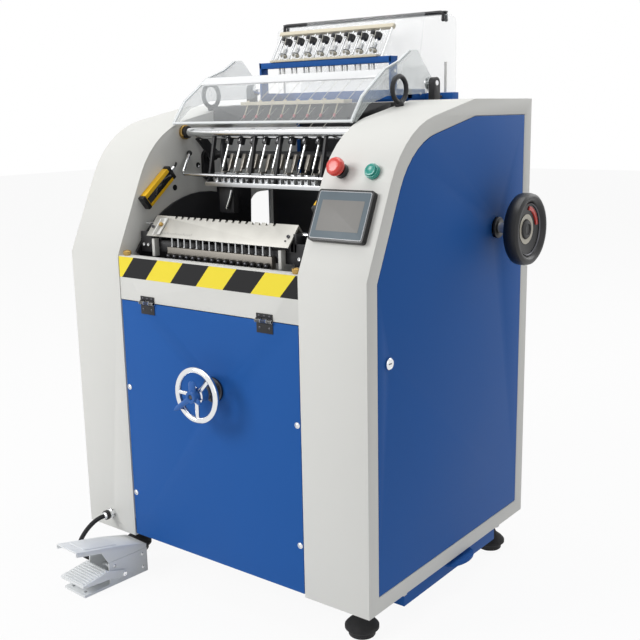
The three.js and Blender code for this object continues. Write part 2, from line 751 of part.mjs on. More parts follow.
// Clamp in front of the hub: a paddle, a long lever and a lobe round one turned body
function clampLever() {
  const front = doorFace - wheel.reach - wheel.spoke - running - gap;
  const y = [front - clamp.thick, front];
  const armY = [y[0] + clamp.armInset, front - clamp.armInset];
  const arm = (angle, reach, width) => {
    const tip = arc([wheelX, wheelZ], reach, angle, angle, 1)[0];
    return prismY(slotOutline([wheelX, wheelZ], tip, width / 2, 5), ...armY);
  };
  const body = rod([wheelX, y[0], wheelZ], [wheelX, y[1], wheelZ], clamp.hub, 24);
  const boreEnd = y[0] + clamp.boreDeep;
  const hollow = rod([wheelX, y[0] - overrun, wheelZ], [wheelX, boreEnd, wheelZ], clamp.bore, 14);
  const arms = [
    arm(clamp.paddleAngle, clamp.paddle - clamp.paddleWidth / 2, clamp.paddleWidth),
    arm(clamp.leverAngle, clamp.lever, clamp.leverWidth),
    arm(clamp.lobeAngle, clamp.lobe - clamp.leverWidth / 2, clamp.leverWidth),
  ];
  return cut(join(body, ...arms), hollow);
}

function adjustGearbox() {
  const y = [gearbox.setback, gearbox.setback + gearbox.depth];
  const z = [portalTop + gap, portalTop + gearbox.height];
  const outline = roundedBox(around(wheelX, gearbox.width), z, gearbox.corner);
  return prismY(outline, ...y);
}

// Touch panel and buttons, drawn flat on the slanted face
function touchPanel() {
  const x = around(throatRight + screen.inset, screen.width);
  const outline = roundedBox(x, around(screen.up, screen.height), screen.corner);
  return prismZ(outline, gap, screen.proud);
}

function buttonPlace({ inset, up }) {
  return [throatRight + inset, up, 0];
}

// Both collars screw into one contact block behind the slanted face
function buttonCollars() {
  const stopBore = stopButton.stem + gap;
  const stop = [
    [stopBore, -stopButton.depth], [stopButton.barrel, -stopButton.depth], [stopButton.barrel, gap],
    [stopButton.collar, gap], [stopButton.collar, stopButton.collarThick], [stopBore, stopButton.collarThick],
  ];
  const startBore = startButton.stem + gap;
  const well = startButton.cap + running;
  const start = [
    [startBore, -startButton.depth], [startButton.barrel, -startButton.depth], [startButton.barrel, gap],
    [startButton.collar, gap], [startButton.collar, startButton.collarThick], [well, startButton.collarThick],
    [well, startButton.floor], [startBore, startButton.floor],
  ];
  const backPlate = box(
    [buttonPlace(stopButton)[0] - stopButton.barrel, buttonPlace(startButton)[0] + startButton.barrel],
    around(stopButton.up, 2 * stopButton.barrel),
    [-stopButton.depth - sheet, -stopButton.depth + running],
  );
  return join(
    backPlate,
    turned(stop, buttonPlace(stopButton), alongZ, 18),
    turned(start, buttonPlace(startButton), alongZ, 18),
  );
}

function emergencyButton() {
  const { stem, capFoot, cap, proud, collarThick, travel, shoulder, crown } = stopButton;
  const foot = collarThick + travel + running;
  const shape = [
    [0, -capFoot], [stem, -capFoot], [stem, foot], [capFoot, foot], [cap, (foot + proud) / 2],
    [shoulder, proud - running], [crown, proud], [0, proud],
  ];
  return turned(shape, buttonPlace(stopButton), alongZ, 24);
}

function startButtonCap() {
  const { stem, cap, proud, floor, travel, depth } = startButton;
  const foot = floor + travel + running;
  const shape = [
    [0, -depth / 2], [stem, -depth / 2], [stem, foot], [cap, foot], [cap, proud - running],
    [cap - running, proud], [0, proud],
  ];
  return turned(shape, buttonPlace(startButton), alongZ, 24);
}

// Head: fixed tube with hangers, needle guide, and the needles on their sliding carriage
function needlePlaces(each) {
  return Array.from({ length: needle.count }, (unused, i) => {
    return each(centreX + (i - (needle.count - 1) / 2) * needle.pitch);
  });
}

const guideBottom = topHeight - needleGuide.drop;
const guideTop = guideBottom + needleGuide.height;

function headTubeBody() {
  const { y, radius, flange, flangeThick, collar, collarThick } = headTube;
  const ends = ['left', 'right'].map((side) => {
    const out = side === 'left' ? alongX : alongX.clone().negate();
    const start = throatLeft + gap;
    const wall = across(side, start);
    return join(
      ring(flange, radius - running, flangeThick, [wall, y, tubeZ], out, 16),
      ring(collar, radius - running, flangeThick + collarThick, [wall, y, tubeZ], out, 16),
    );
  });
  const reach = cheek + running;
  const tube = rod([throatLeft - reach, y, tubeZ], [throatRight + reach, y, tubeZ], radius, 16);
  const footY = needleGuide.y;
  const hangers = [-hanger.outer, -needle.pitch, needle.pitch, hanger.outer].map((offset) => {
    const x = around(centreX + offset, hanger.thick);
    const blade = join(
      prismX(slotOutline([y, tubeZ], [footY, guideTop], hanger.width / 2, 3), ...x),
      prismX(arc([y, tubeZ], hanger.hub, 0, 360, 12).slice(1), ...x),
      box(x, around(footY, hanger.footDepth), [guideTop, guideTop + hanger.footHeight]),
    );
    const below = [guideTop - hanger.hub, guideTop + gap];
    return cut(blade, box([x[0] - overrun, x[1] + overrun], around(footY, 2 * hanger.footDepth), below));
  });
  return join(tube, ...ends, ...hangers);
}

// Guide bar with one bright plate at each needle, drilled along the lean of the needles
function needlePlateBar() {
  const reach = hanger.outer + hanger.thick;
  const barY = around(needleGuide.y, needleGuide.depth);
  const bar = box([centreX - reach, centreX + reach], barY, [guideBottom, guideTop]);
  const plateY = [needleGuide.y, needleGuide.y + needleGuide.plateThick];
  const plates = needlePlaces((x) => {
    return box(around(x, needleGuide.plate), plateY, [guideTop - running, guideTop + needleGuide.plateRise]);
  });
  const holes = needlePlaces((x) => {
    const from = alongNeedle(-needle.stroke - overrun);
    const to = alongNeedle(overrun);
    return bore([x, ...from], [x, ...to], needle.radius + running, 6);
  });
  return cut(join(bar, ...plates), ...holes);
}

function needleBar(x) {
  const shape = [
    [0, 0], [needle.radius * needle.pointShare, 0], [needle.radius, needle.point],
    [needle.radius, needle.length + running], [0, needle.length + running],
  ];
  return turned(shape, [x, ...alongNeedle(0)], new THREE.Vector3(0, ...needleAxis), 6);
}

function needleBlockOutline() {
  const [from, to] = [needle.length - carriage.grip, rodReach + carriage.rod + running];
  const half = carriage.blockDeep / 2;
  return [alongNeedle(from, -half), alongNeedle(from, half), alongNeedle(to, half), alongNeedle(to, -half)];
}

// Cross rod with a clamp block for each needle
function needleCarriage() {
  const rodX = [throatLeft + carriage.inset, throatRight - carriage.inset];
  const rodAt = alongNeedle(rodReach);
  const crossRod = rod([rodX[0], ...rodAt], [rodX[1], ...rodAt], carriage.rod, 16);
  const blocks = needlePlaces((x) => prismX(needleBlockOutline(), ...around(x, carriage.block)));
  return join(crossRod, ...blocks, ...needlePlaces(needleBar));
}

function beside([y, z], heading, along, aside) {
  const [c, s] = [Math.cos(radians(heading)), Math.sin(radians(heading))];
  return [y + along * c - aside * s, z + along * s + aside * c];
}

// Cross shaft with a forked arm at each end that lifts and lowers the carriage rod
function needleRocker() {
  const [rodY, rodZ] = alongNeedle(rodReach);
  const heading = THREE.MathUtils.radToDeg(Math.atan2(rodZ - rockerPivot[1], rodY - rockerPivot[0]));
  const restReach = Math.hypot(rocker.arm, needle.stroke / 2);
  const half = rocker.armWidth / 2;
  const slotHalf = carriage.rod + rocker.slack;
  const bar = (from, to, halfWidth) => [
    beside(rockerPivot, heading, from, -halfWidth), beside(rockerPivot, heading, to, -halfWidth),
    beside(rockerPivot, heading, to, halfWidth), beside(rockerPivot, heading, from, halfWidth),
  ];
  const arms = ['left', 'right'].map((side) => {
    const x = span(side, throatLeft + rocker.inset, throatLeft + rocker.inset + rocker.armThick);
    const blade = join(
      prismX(bar(0, restReach + rocker.tip, half), ...x),
      prismX(arc(rockerPivot, rocker.hub, 0, 360, 20).slice(1), ...x),
    );
    const slotStart = rocker.arm - carriage.rod - rocker.slack;
    const slot = prismX(bar(slotStart, restReach + rocker.hub, slotHalf), x[0] - overrun, x[1] + overrun);
    return cut(blade, slot);
  });
  const reach = cheek + running;
  const ends = [throatLeft - reach, throatRight + reach];
  const shaft = rod([ends[0], ...rockerPivot], [ends[1], ...rockerPivot], rocker.shaft, 16);
  return join(shaft, ...arms);
}

// Swinging saddle: cross shaft, two sectors, beam and the brackets under the folded plate
const skirtLine = edge([saddle.frontY, skirtZ], 0, 0);
const frontHeading = THREE.MathUtils.radToDeg(
  Math.atan2(apexZ - skirtZ, saddle.apexY - saddle.frontY),
);
const rearHeading = THREE.MathUtils.radToDeg(
  Math.atan2(skirtZ - apexZ, saddle.rearY - saddle.apexY),
);

function saddleOutline(inset, base = skirtLine) {
  const front = edge([saddle.apexY, apexZ], frontHeading, inset);
  const rear = edge([saddle.apexY, apexZ], rearHeading, inset);
  return [meet(front, base), meet(front, rear), meet(rear, base)];
}

const saddleX = around(centreX, saddle.width);

function saddlePlate() {
  const below = edge([saddle.frontY, skirtZ - overrun], 0, 0);
  const ridge = prismX(saddleOutline(0), ...saddleX);
  const inside = prismX(saddleOutline(saddle.thick, below), saddleX[0] - overrun, saddleX[1] + overrun);
  const notches = piercerPlaces((x) => box(
    around(x, saddle.notchWide),
    around(saddle.apexY, 2 * saddle.notchLong),
    [apexZ - saddle.notchDeep, apexZ + overrun],
  ));
  return cut(ridge, inside, ...notches);
}

function piercerPlaces(each) {
  return Array.from({ length: saddle.notches }, (unused, i) => {
    return each(centreX + (i - (saddle.notches - 1) / 2) * saddle.pitch);
  });
}

function swingFrame() {
  const pivot = [swing.y, swingZ];
  const reach = cheek + running;
  const shaft = rod([throatLeft - reach, ...pivot], [throatRight + reach, ...pivot], swing.shaft, 24);
  const sectors = ['left', 'right'].map((side) => {
    const x = span(side, throatLeft + swing.inset, throatLeft + swing.inset + swing.sectorThick);
    const outline = [
      ...arc(pivot, swing.sector, swing.from, swing.to, 10),
      ...arc(pivot, swing.hub, 200, 340, 6),
    ];
    return prismX(outline, ...x);
  });
  const beamX = [throatLeft + swing.inset, throatRight - swing.inset];
  const crossBeam = box(beamX, [swingBeam.frontY, swingBeam.rearY], [swingBeamZ[0], swingBeamZ[1]]);
  const base = edge([saddle.frontY, swingBeamZ[1] - running], 0, 0);
  const seat = saddleOutline(saddle.thick + gap, base);
  const brackets = bracketShares.map((share) => {
    const x = around(centreX + share * saddle.width, swing.bracket);
    const front = box(
      [x[0] - overrun, x[1] + overrun],
      [saddle.frontY - saddle.thick, swingBeam.frontY],
      [swingBeamZ[0], apexZ],
    );
    return cut(prismX(seat, ...x), front);
  });
  return join(shaft, ...sectors, crossBeam, ...brackets);
}

function piercingRods() {
  const ends = [-1, 1].map((way) => centreX + way * ((saddle.notches / 2) * saddle.pitch));
  const railY = [piercer.railFrontY, swingBeam.frontY - gap];
  const body = box(ends, railY, [piercerZ[0], piercerZ[1]]);
  const rodY = (railY[0] + railY[1]) / 2;
  const parts = piercerPlaces((x) => {
    const knobBack = piercer.railFrontY + running;
    const knobZ = piercerZ[0] + piercer.knobRise;
    return join(
      rod([x, rodY, piercerZ[1] - running], [x, rodY, piercerZ[1] + piercer.rodRise], piercer.rod, 6),
      rod([x, knobBack - piercer.knobLong, knobZ], [x, knobBack, knobZ], piercer.knob, 8),
    );
  });
  return join(body, ...parts);
}

// A stop that sits on the front slope of the saddle and lines up the edge of the sheet
function sideGaugeBody() {
  const x = around(saddleX[0] + sideGauge.inset, sideGauge.width);
  const above = edge([saddle.frontY, skirtZ + sideGauge.lift], 0, 0);
  const under = edge([saddle.frontY, apexZ - sideGauge.lift], 0, 0);
  const face = (inset) => edge([saddle.apexY, apexZ], frontHeading, inset);
  const outer = -gap - sideGauge.thick;
  const strip = [
    meet(face(-gap), above), meet(face(-gap), under), meet(face(outer), under), meet(face(outer), above),
  ];
  const fence = [
    meet(face(-gap), above), meet(face(-gap), under), meet(face(outer - sideGauge.fence), under),
    meet(face(outer - sideGauge.fence), above),
  ];
  return join(prismX(strip, ...x), prismX(fence, x[0], x[0] + sideGauge.thick));
}

// Guard rail across the throat, light curtains on the cheeks and the clear cover above the needles
function guardRail() {
  const z = topHeight - rail.drop;
  const ends = ['left', 'right'].map((side) => [across(side, throatLeft + gap + rail.ball), rail.y, z]);
  const corners = ['left', 'right'].map((side) => {
    return [across(side, throatLeft + rail.inset), rail.y - rail.reachY, z - rail.reachZ];
  });
  const bar = bentRod([ends[0], corners[0], corners[1], ends[1]], rail.rod, rail.bend, 8, 4);
  return join(bar, ...ends.map((end) => ball(end, rail.ball, 12)));
}

function lightCurtain(side) {
  const middle = [curtain.y, topHeight - curtain.drop];
  const half = [curtain.length / 2, curtain.wide / 2];
  const corner = (along, aside) => beside(middle, curtain.angle, along * half[0], aside * half[1]);
  const outline = [corner(-1, -1), corner(1, -1), corner(1, 1), corner(-1, 1)];
  return prismX(outline, ...span(side, throatLeft + gap, throatLeft + gap + curtain.thick));
}

// The cover turns just ahead of the middle between the crest and the rack
const coverPivot = [(crestDepth + rackY) / 2 - cover.ahead, topHeight + cover.pivotRise];
const fromPivot = ([y, z]) => [coverPivot[0] + y * cover.reach, coverPivot[1] + z * cover.reach];

function clearCover() {
  const fans = ['left', 'right'].map((side) => {
    const x = span(side, throatLeft + running, throatLeft + running + cover.sheet);
    const pinStart = throatLeft - coverBlock.clearance - coverBlock.width;
    const pin = span(side, pinStart, throatLeft + running + cover.sheet);
    return join(
      prismX(fanShares.map(fromPivot), ...x),
      rod([pin[0], ...coverPivot], [pin[1], ...coverPivot], cover.pin, 16),
    );
  });
  const front = visorShares.map(fromPivot);
  const back = front.map(([y, z]) => [y + cover.sheet, z - cover.sheet]).reverse();
  const visor = prismX([...front, ...back], throatLeft + running, throatRight - running);
  return join(visor, ...fans);
}

function coverHingeBlock(side) {
  const [pivotY, pivotZ] = coverPivot;
  const half = coverBlock.depth / 2;
  const outline = [
    [pivotY - half, topHeight + gap], [pivotY + half, topHeight + gap], ...arc(coverPivot, half, 0, 180, 10),
  ];
  const start = throatLeft - coverBlock.clearance - coverBlock.width;
  const x = span(side, start, start + coverBlock.width);
  const hole = bore([x[0] - overrun, pivotY, pivotZ], [x[1] + overrun, pivotY, pivotZ], cover.pin + gap);
  return cut(prismX(outline, ...x), hole);
}

function liftingEye(side) {
  const surface = topHeight - (crestDepth - eyeY) * Math.tan(radians(topSlopeAngle));
  const x = across(side, armWidth - eye.inset);
  const base = rod([x, eyeY, surface - eye.foot], [x, eyeY, surface + eye.footThick], eye.foot, 20);
  const trimmed = cut(base, prismX(profile(-gap), x - 2 * eye.foot, x + 2 * eye.foot));
  const loop = new THREE.TorusGeometry(eye.ring, eye.wire, 6, 18)
    .rotateY(Math.PI / 2)
    .translate(x, eyeY, surface + eye.ring + eye.wire + eye.lift);
  return join(trimmed, loop);
}

function takeUpBar() {
  const { barHeight, wire, wireLong, end, endLong, y, seat } = takeUp;
  const reach = (needle.count / 2) * needle.pitch;
  const barZ = [takeUpTop - barHeight, takeUpTop];
  const bar = box([centreX - reach, centreX + reach], [y - end - end, headBeam.frontY + seat], barZ);
  const wires = needlePlaces((x) => join(
    rod([x, y, barZ[0] - wireLong], [x, y, barZ[0] + running], wire, 6),
    rod([x, y, barZ[0] - wireLong], [x, y, barZ[0] - wireLong + endLong], end, 8),
  ));
  return join(bar, ...wires);
}

function headBeamBody() {
  const top = takeUpTop - takeUp.barHeight - gap;
  const bottom = top - headBeam.height;
  const y = [headBeam.frontY, headBeam.frontY + headBeam.depth];
  const reach = (needle.count / 2) * needle.pitch;
  const sleeve = box(
    [centreX - reach, centreX + reach],
    [headBeam.frontY - headBeam.sleeve, headBeam.frontY + running],
    [bottom + running, bottom + headBeam.sleeveHeight],
  );
  return join(box([throatLeft + gap, throatRight - gap], y, [bottom, top]), sleeve);
}

// Thread rack: base strip, clear panel and rails, then the leaning sheet and the tension beam
const rackX = [throatLeft - rack.overhang, throatRight + rack.overhang];
const rackTop = topHeight + gap + rack.rise;
const rackPanelY = around(rackY + rack.depth / 2, rack.panelThick);

function rackBase() {
  return box(rackX, [rackY, rackY + rack.depth], [topHeight + gap, rackTop]);
}

function rackPanel() {
  const [low, high] = [rackTop + gap, panelTopZ];
  const outline = [
    [rackX[0], low],
    [rackX[1], low],
    ...arc([rackX[1] - rack.corner, high - rack.corner], rack.corner, 0, 90, 4),
    ...arc([rackX[0] + rack.corner, high - rack.corner], rack.corner, 90, 180, 4),
  ];
  return prismY(outline, ...rackPanelY);
}

function rackFrame() {
  const railZ = panelTopZ + gap + rack.railRod;
  const railX = [rackX[0] + rack.railInset, rackX[1] - rack.railInset];
  const offset = rack.panelThick / 2 + gap + rack.railRod;
  const middle = rackY + rack.depth / 2;
  const rails = [-1, 1].map((way) => {
    const y = middle + way * offset;
    const hook = railZ - rack.hook;
    return bentRod(
      [[railX[0], y, hook], [railX[0], y, railZ], [railX[1], y, railZ], [railX[1], y, hook]],
      rack.railRod, 2 * rack.railRod, 8, 3,
    );
  });
  const ties = tieShares.map((share) => {
    const x = railX[0] + share * (railX[1] - railX[0]);
    return box(around(x, rack.tie), [middle - offset, middle + offset], [railZ - running, railZ + rack.stay]);
  });
  return join(...rails, ...ties);
}

// The leaning sheet stands on the cross angle of the tension beam
const beamFootZ = [topHeight + rack.footRise, topHeight + rack.footRise + rack.angle];

function rackSheetBody() {
  const foot = beamFootZ[1] + gap;
  const top = [sheetFootY + rackSheet.topBack, topHeight + rackSheet.topRise];
  const outline = [
    [sheetFootY, foot], [sheetFootY + rackSheet.thick, foot],
    [top[0] + rackSheet.thick, top[1]], top,
  ];
  const left = centreX - rackSheet.offset;
  return prismX(outline, left, left + rackSheet.width);
}

const tensionAxis = [Math.sin(radians(tensioner.lean)), Math.cos(radians(tensioner.lean))];
const tensionZ = topHeight + tensionBeam.rise;
const beamTopZ = tensionZ + tensionBeam.height / 2;
const ledgeTop = beamTopZ + gap + tensionBeam.ledge;

function alongTensioner(distance, sideways = 0) {
  return [
    tensionY + distance * tensionAxis[0] + sideways * tensionAxis[1],
    ledgeTop + distance * tensionAxis[1] - sideways * tensionAxis[0],
  ];
}

function tensionBeamBody() {
  const { width, depth, height, plate } = tensionBeam;
  const y = tensionY;
  const x = around(centreX, width);
  const barZ = around(tensionZ, height);
  const side = [
    [y - depth / 2, barZ[1]], [y + depth / 2, barZ[1]], [y + depth / 2, beamFootZ[1]],
    [rackY - gap, beamFootZ[1]], [rackY - gap, beamFootZ[0]], [y - depth / 2, beamFootZ[0]],
  ].reverse();
  const sides = [prismX(side, x[0], x[0] + plate), prismX(side, x[1] - plate, x[1])];
  const footBar = box(x, around(sheetFootY + rackSheet.thick / 2, 5 * rackSheet.thick), beamFootZ);
  const postReach = tensioner.rise + tensionBeam.rail / 2;
  const postOffset = (needle.count / 2) * needle.pitch + tensionBeam.postOut;
  const posts = [-1, 1].map((way) => {
    const px = centreX + way * postOffset;
    const ends = [alongTensioner(-tensionBeam.height), alongTensioner(postReach)];
    return rod([px, ...ends[0]], [px, ...ends[1]], tensioner.stem, 10);
  });
  const railHalf = tensionBeam.rail / 2;
  const railOutline = [
    alongTensioner(tensioner.rise, -railHalf), alongTensioner(tensioner.rise, railHalf),
    alongTensioner(tensioner.rise + 2 * railHalf, railHalf),
    alongTensioner(tensioner.rise + 2 * railHalf, -railHalf),
  ];
  const railReach = postOffset + tensioner.stem + running;
  const upperRail = prismX(railOutline, centreX - railReach, centreX + railReach);
  const guides = needlePlaces((gx) => {
    const half = tensionBeam.guideWide / 2;
    const top = barZ[0] + running;
    const low = barZ[0] - tensionBeam.guideDrop;
    return bentRod([[gx - half, y, top], [gx - half, y, low], [gx + half, y, low], [gx + half, y, top]],
      tensionBeam.guide, half * tensionBeam.bendShare, 5, 2);
  });
  return join(box(x, around(y, depth), barZ), ...sides, footBar, ...posts, upperRail, ...guides);
}

// Tensioners on their ledge: leaning stems with disc and knurled knob, and a domed post beside each
function threadTensioners() {
  const axis = new THREE.Vector3(0, ...tensionAxis);
  const { stem, disc, discThick, discAt, knob, knobLong, knobAt, rise } = tensioner;
  const { dome, domeBack, domeAt, plate } = tensioner;
  const shape = [
    [0, 0], [stem, 0], [stem, discAt], [disc, discAt], [disc, discAt + discThick], [stem, discAt + discThick],
    [stem, knobAt], [knob, knobAt], [knob, knobAt + knobLong], [stem, knobAt + knobLong], [stem, rise - gap],
    [0, rise - gap],
  ];
  const ledge = box(around(centreX, tensionBeam.ledgeWidth), around(tensionY, tensionBeam.ledgeDepth),
    [beamTopZ + gap, ledgeTop]);
  const keepOut = upperRailKeepOut();
  const stems = needlePlaces((x) => {
    const postTop = [x - domeBack, ...alongTensioner(domeAt)];
    return join(
      cut(
        turned(shape, [x, ...alongTensioner(-plate)], axis, 8),
        prismX(keepOut, ...around(x, 2 * domeBack)),
      ),
      rod([x - domeBack, ...alongTensioner(-plate)], postTop, stem, 5),
      ball(postTop, dome, 8),
    );
  });
  return join(ledge, ...stems);
}

function upperRailKeepOut() {
  const half = tensionBeam.rail / 2 + gap;
  return [
    alongTensioner(tensioner.rise - gap, -half), alongTensioner(tensioner.rise - gap, half),
    alongTensioner(tensioner.rise + 2 * half, half), alongTensioner(tensioner.rise + 2 * half, -half),
  ];
}

// Drive inside the right arm
const pulleyX = [throatRight + drive.pulleyInset, throatRight + drive.pulleyInset + drive.pulleyWide];

function onX(x, [y, z]) {
  return [x, y, z];
}

// Boss on the outside of the right cheek that the main shaft turns in
function shaftBoss() {
  const start = throatRight + cheek - running;
  const shape = [
    [drive.shaft, 0], [drive.bearing, 0], [drive.bearing, drive.bearingFlange],
    [drive.bearingNeck, drive.bearingFlange], [drive.bearingNeck, drive.bearingLong],
    [drive.shaft, drive.bearingLong],
  ];
  return turned(shape, onX(start, driveAt), alongX, 24);
}

// The shaft carries the belt pulley and a disc that hides the hole in the side panel
function mainShaft() {
  const end = bodyWidth + sideWheel.shaftEnd;
  const disc = [bodyWidth + sideWheel.discStart, bodyWidth + sideWheel.discEnd];
  return join(
    rod(onX(throatRight + running, driveAt), onX(end, driveAt), drive.shaft, 16),
    rod(onX(disc[0], driveAt), onX(disc[1], driveAt), drive.hole + running, 20),
    pulley(drive.pulley, drive.shaft - running, driveAt),
  );
}

function pulley(radius, inside, at) {
  const flangeWide = (drive.pulleyWide - drive.belt) / 2 - running;
  const rim = radius + drive.pulleyFlange;
  const wide = drive.pulleyWide;
  const shape = [
    [inside, 0], [rim, 0], [rim, flangeWide], [radius, flangeWide], [radius, wide - flangeWide],
    [rim, wide - flangeWide], [rim, wide], [inside, wide],
  ];
  return turned(shape, onX(pulleyX[0], at), alongX, 20);
}

function motorPulley() {
  const inside = drive.stub - running;
  const stub = rod(onX(throatRight + gap, motorAt), onX(pulleyX[1], motorAt), drive.stub, 16);
  return join(pulley(drive.motorPulley, inside, motorAt), stub);
}

function driveMotor() {
  const back = throatRight - gap;
  const flange = [back - drive.flangeThick, back];
  const half = 2 * drive.motorFlange;
  const can = rod(onX(back - drive.motorLong, motorAt), onX(flange[0] + running, motorAt), drive.motor, 28);
  const terminal = box(
    around(back - drive.motorLong / 2, drive.motorFlange),
    around(motorAt[0], drive.motorFlange),
    [motorAt[1], motorAt[1] + drive.motor + drive.terminal],
  );
  return join(can, terminal, box(flange, around(motorAt[0], half), around(motorAt[1], half)));
}

function loopAround(big, bigRadius, small, smallRadius) {
  const [dy, dz] = [small[0] - big[0], small[1] - big[1]];
  const heading = THREE.MathUtils.radToDeg(Math.atan2(dz, dy));
  const open = THREE.MathUtils.radToDeg(Math.acos((bigRadius - smallRadius) / Math.hypot(dy, dz)));
  return [
    ...arc(big, bigRadius, heading + open, heading + 360 - open, 20),
    ...arc(small, smallRadius, heading - open, heading + open, 12),
  ];
}

function driveBelt() {
  const x = around((pulleyX[0] + pulleyX[1]) / 2, drive.belt - running);
  const outer = running + drive.beltThick;
  const loop = prismX(loopAround(driveAt, drive.pulley + outer, motorAt, drive.motorPulley + outer), ...x);
  const inside = loopAround(driveAt, drive.pulley + running, motorAt, drive.motorPulley + running);
  return cut(loop, prismX(inside, x[0] - overrun, x[1] + overrun));
}

function sideHandwheel() {
  const profileShape = sideWheelShares.map(([radiusShare, reachShare]) => {
    const reach = sideWheel.start + reachShare * (sideWheel.end - sideWheel.start);
    return [Math.max(radiusShare * sideWheel.rim, drive.shaft + gap), reach];
  });
  return turned(profileShape, onX(bodyWidth, driveAt), alongX, 28);
}

function controlBoxBody() {
  const x = [cheekInner - gap - controlBox.width, cheekInner - gap];
  const rear = bodyDepth - controlBox.rearInset;
  return box(x, [rear - controlBox.depth, rear], [floorGap + controlBox.rise, swingZ - controlBox.below]);
}

function cableGland() {
  const { nut, body, neck, nutLong, tail, depth, mouth } = gland;
  const shape = [
    [0, -depth], [neck, -depth], [neck, gap], [nut, gap], [nut, nutLong], [body, nutLong + running],
    [mouth, nutLong + tail], [0, nutLong + tail],
  ];
  return turned(shape, [gland.x, 0, gland.z], towardsFront, 18);
}

function sideLock() {
  const { face, barrel, faceThick, depth, tongue, tongueHigh } = lock;
  const shape = [
    [0, -depth], [barrel, -depth], [barrel, gap], [face, gap], [face, faceThick], [0, faceThick],
  ];
  const body = turned(shape, [bodyWidth, lock.y, lockZ], alongX, 24);
  const tongueX = [bodyWidth - depth + running, bodyWidth - casingWall - running];
  const bolt = box(tongueX, [lock.y - tongue, lock.y], around(lockZ, tongueHigh));
  const slot = box(
    [bodyWidth + faceThick - lock.slotDeep, bodyWidth + faceThick + overrun],
    around(lock.y, lock.slotLong),
    around(lockZ, lock.slotWide),
  );
  return cut(join(body, bolt), slot);
}

// Oil tray with a half-round handle on its right end
function oilTray() {
  const right = bodyWidth - tray.inset;
  const x = [right - tray.length, right];
  const y = trayY;
  const body = box(x, y, trayZ);
  const flange = box(x, [y[0] - tray.flange, y[1] + tray.flange], [trayZ[1] - tray.wall, trayZ[1]]);
  const hollow = box(
    [x[0] + tray.wall, x[1] - tray.wall],
    [y[0] + tray.wall, y[1] - tray.wall],
    [trayZ[0] + tray.wall, trayZ[1] + overrun],
  );
  const half = arc([0, 0], 1, -90, 90, 14).map(([acrossShare, upShare]) => [
    x[1] - running + tray.handleReach * acrossShare, y[1] - tray.handleBack + tray.handleHalf * upShare,
  ]);
  const handle = prismZ(half, ...around(trayZ[1] - tray.handleDrop, tray.handleThick));
  return join(cut(join(body, flange), hollow), handle);
}

// Foot pedal, drawn square at its own middle and then turned a little
const bodyX = [-pedal.bodyHalf, pedal.bodyHalf];
const pedalRear = pedal.length / 2;

function pedalBase() {
  const plate = box([-pedal.width / 2, pedal.width / 2], [-pedalRear, pedalRear], [0, pedal.plate]);
  const block = box(bodyX, [pedal.bodyFront, pedalRear], [0, pedal.bodyTop]);
  const hollow = box(
    [bodyX[0] + pedal.shell, bodyX[1] - pedal.shell],
    [pedal.bodyFront - overrun, pedalRear - pedal.shell],
    [pedal.plate, pedal.bodyTop + overrun],
  );
  const wide = [bodyX[0] - overrun, bodyX[1] + overrun];
  const pinHole = bore([wide[0], ...treadlePivot], [wide[1], ...treadlePivot], pedal.pin + gap);
  const { relief: reliefLong, reliefY, reliefZ, reliefRadius } = pedal;
  const reliefX = [bodyX[0] - reliefLong, bodyX[0] + running];
  const relief = rod([reliefX[0], reliefY, reliefZ], [reliefX[1], reliefY, reliefZ], reliefRadius);
  return join(cut(join(plate, block), hollow, pinHole), relief);
}

const treadlePivot = [pedal.pivotY, pedal.pivotZ];

function hoodAt(y) {
  const share = (pedal.ridgeY - y) / (pedal.ridgeY + pedalRear + pedal.hoodReach);
  return pedal.hoodBack + share * (pedal.hoodFront - pedal.hoodBack);
}

function hoodOutline() {
  const front = -pedalRear - pedal.hoodReach;
  const step = pedal.bodyFront - pedal.hoodStep;
  return [
    [pedalRear, pedal.bodyTop + gap],
    [pedalRear, pedal.bodyTop + gap + pedal.lid],
    [pedal.ridgeY, pedal.hoodBack],
    [front, pedal.hoodFront],
    [front, pedal.hoodFront - pedal.hoodSide],
    [step, hoodAt(step) - pedal.hoodSide],
    [pedal.bodyFront, pedal.bodyTop + gap],
  ];
}

// The same outline one sheet further in, left open below and in front
function hoodHollow() {
  const front = -pedalRear - pedal.hoodReach - overrun;
  const low = pedal.bodyTop - overrun;
  const back = pedalRear - pedal.shell;
  return [
    [back, low], [back, pedal.bodyTop + gap + pedal.lid - pedal.shell],
    [pedal.ridgeY, pedal.hoodBack - pedal.shell], [front, hoodAt(front) - pedal.shell], [front, low],
  ];
}

function pedalHood() {
  const inner = prismX(hoodHollow(), bodyX[0] + pedal.shell, bodyX[1] - pedal.shell);
  return cut(prismX(hoodOutline(), ...bodyX), inner);
}

// A sloping plate in front of the body, with a wing down each side of the body to the pin
function treadlePlate() {
  const [pivotY, pivotZ] = treadlePivot;
  const inner = pedal.bodyHalf + treadle.slack;
  const outer = inner + treadle.wing;
  const front = -pedalRear - treadle.setback;
  const rear = pedal.bodyFront - treadle.rearGap;
  const half = treadle.thick / 2;
  const plate = [
    [front, treadle.frontZ - half], [rear, treadle.rearZ - half], [rear, treadle.rearZ + half],
    [front, treadle.frontZ + half],
  ];
  const wing = [
    [front, treadle.frontZ - half], [rear, pivotZ], ...arc(treadlePivot, treadle.hub, -90, 90, 6),
    [rear, treadle.rearZ + half], [front, treadle.frontZ + half],
  ];
  return join(
    prismX(plate, -outer, outer),
    prismX(wing, -outer, -inner),
    prismX(wing, inner, outer),
    rod([-outer, pivotY, pivotZ], [outer, pivotY, pivotZ], pedal.pin),
  );
}

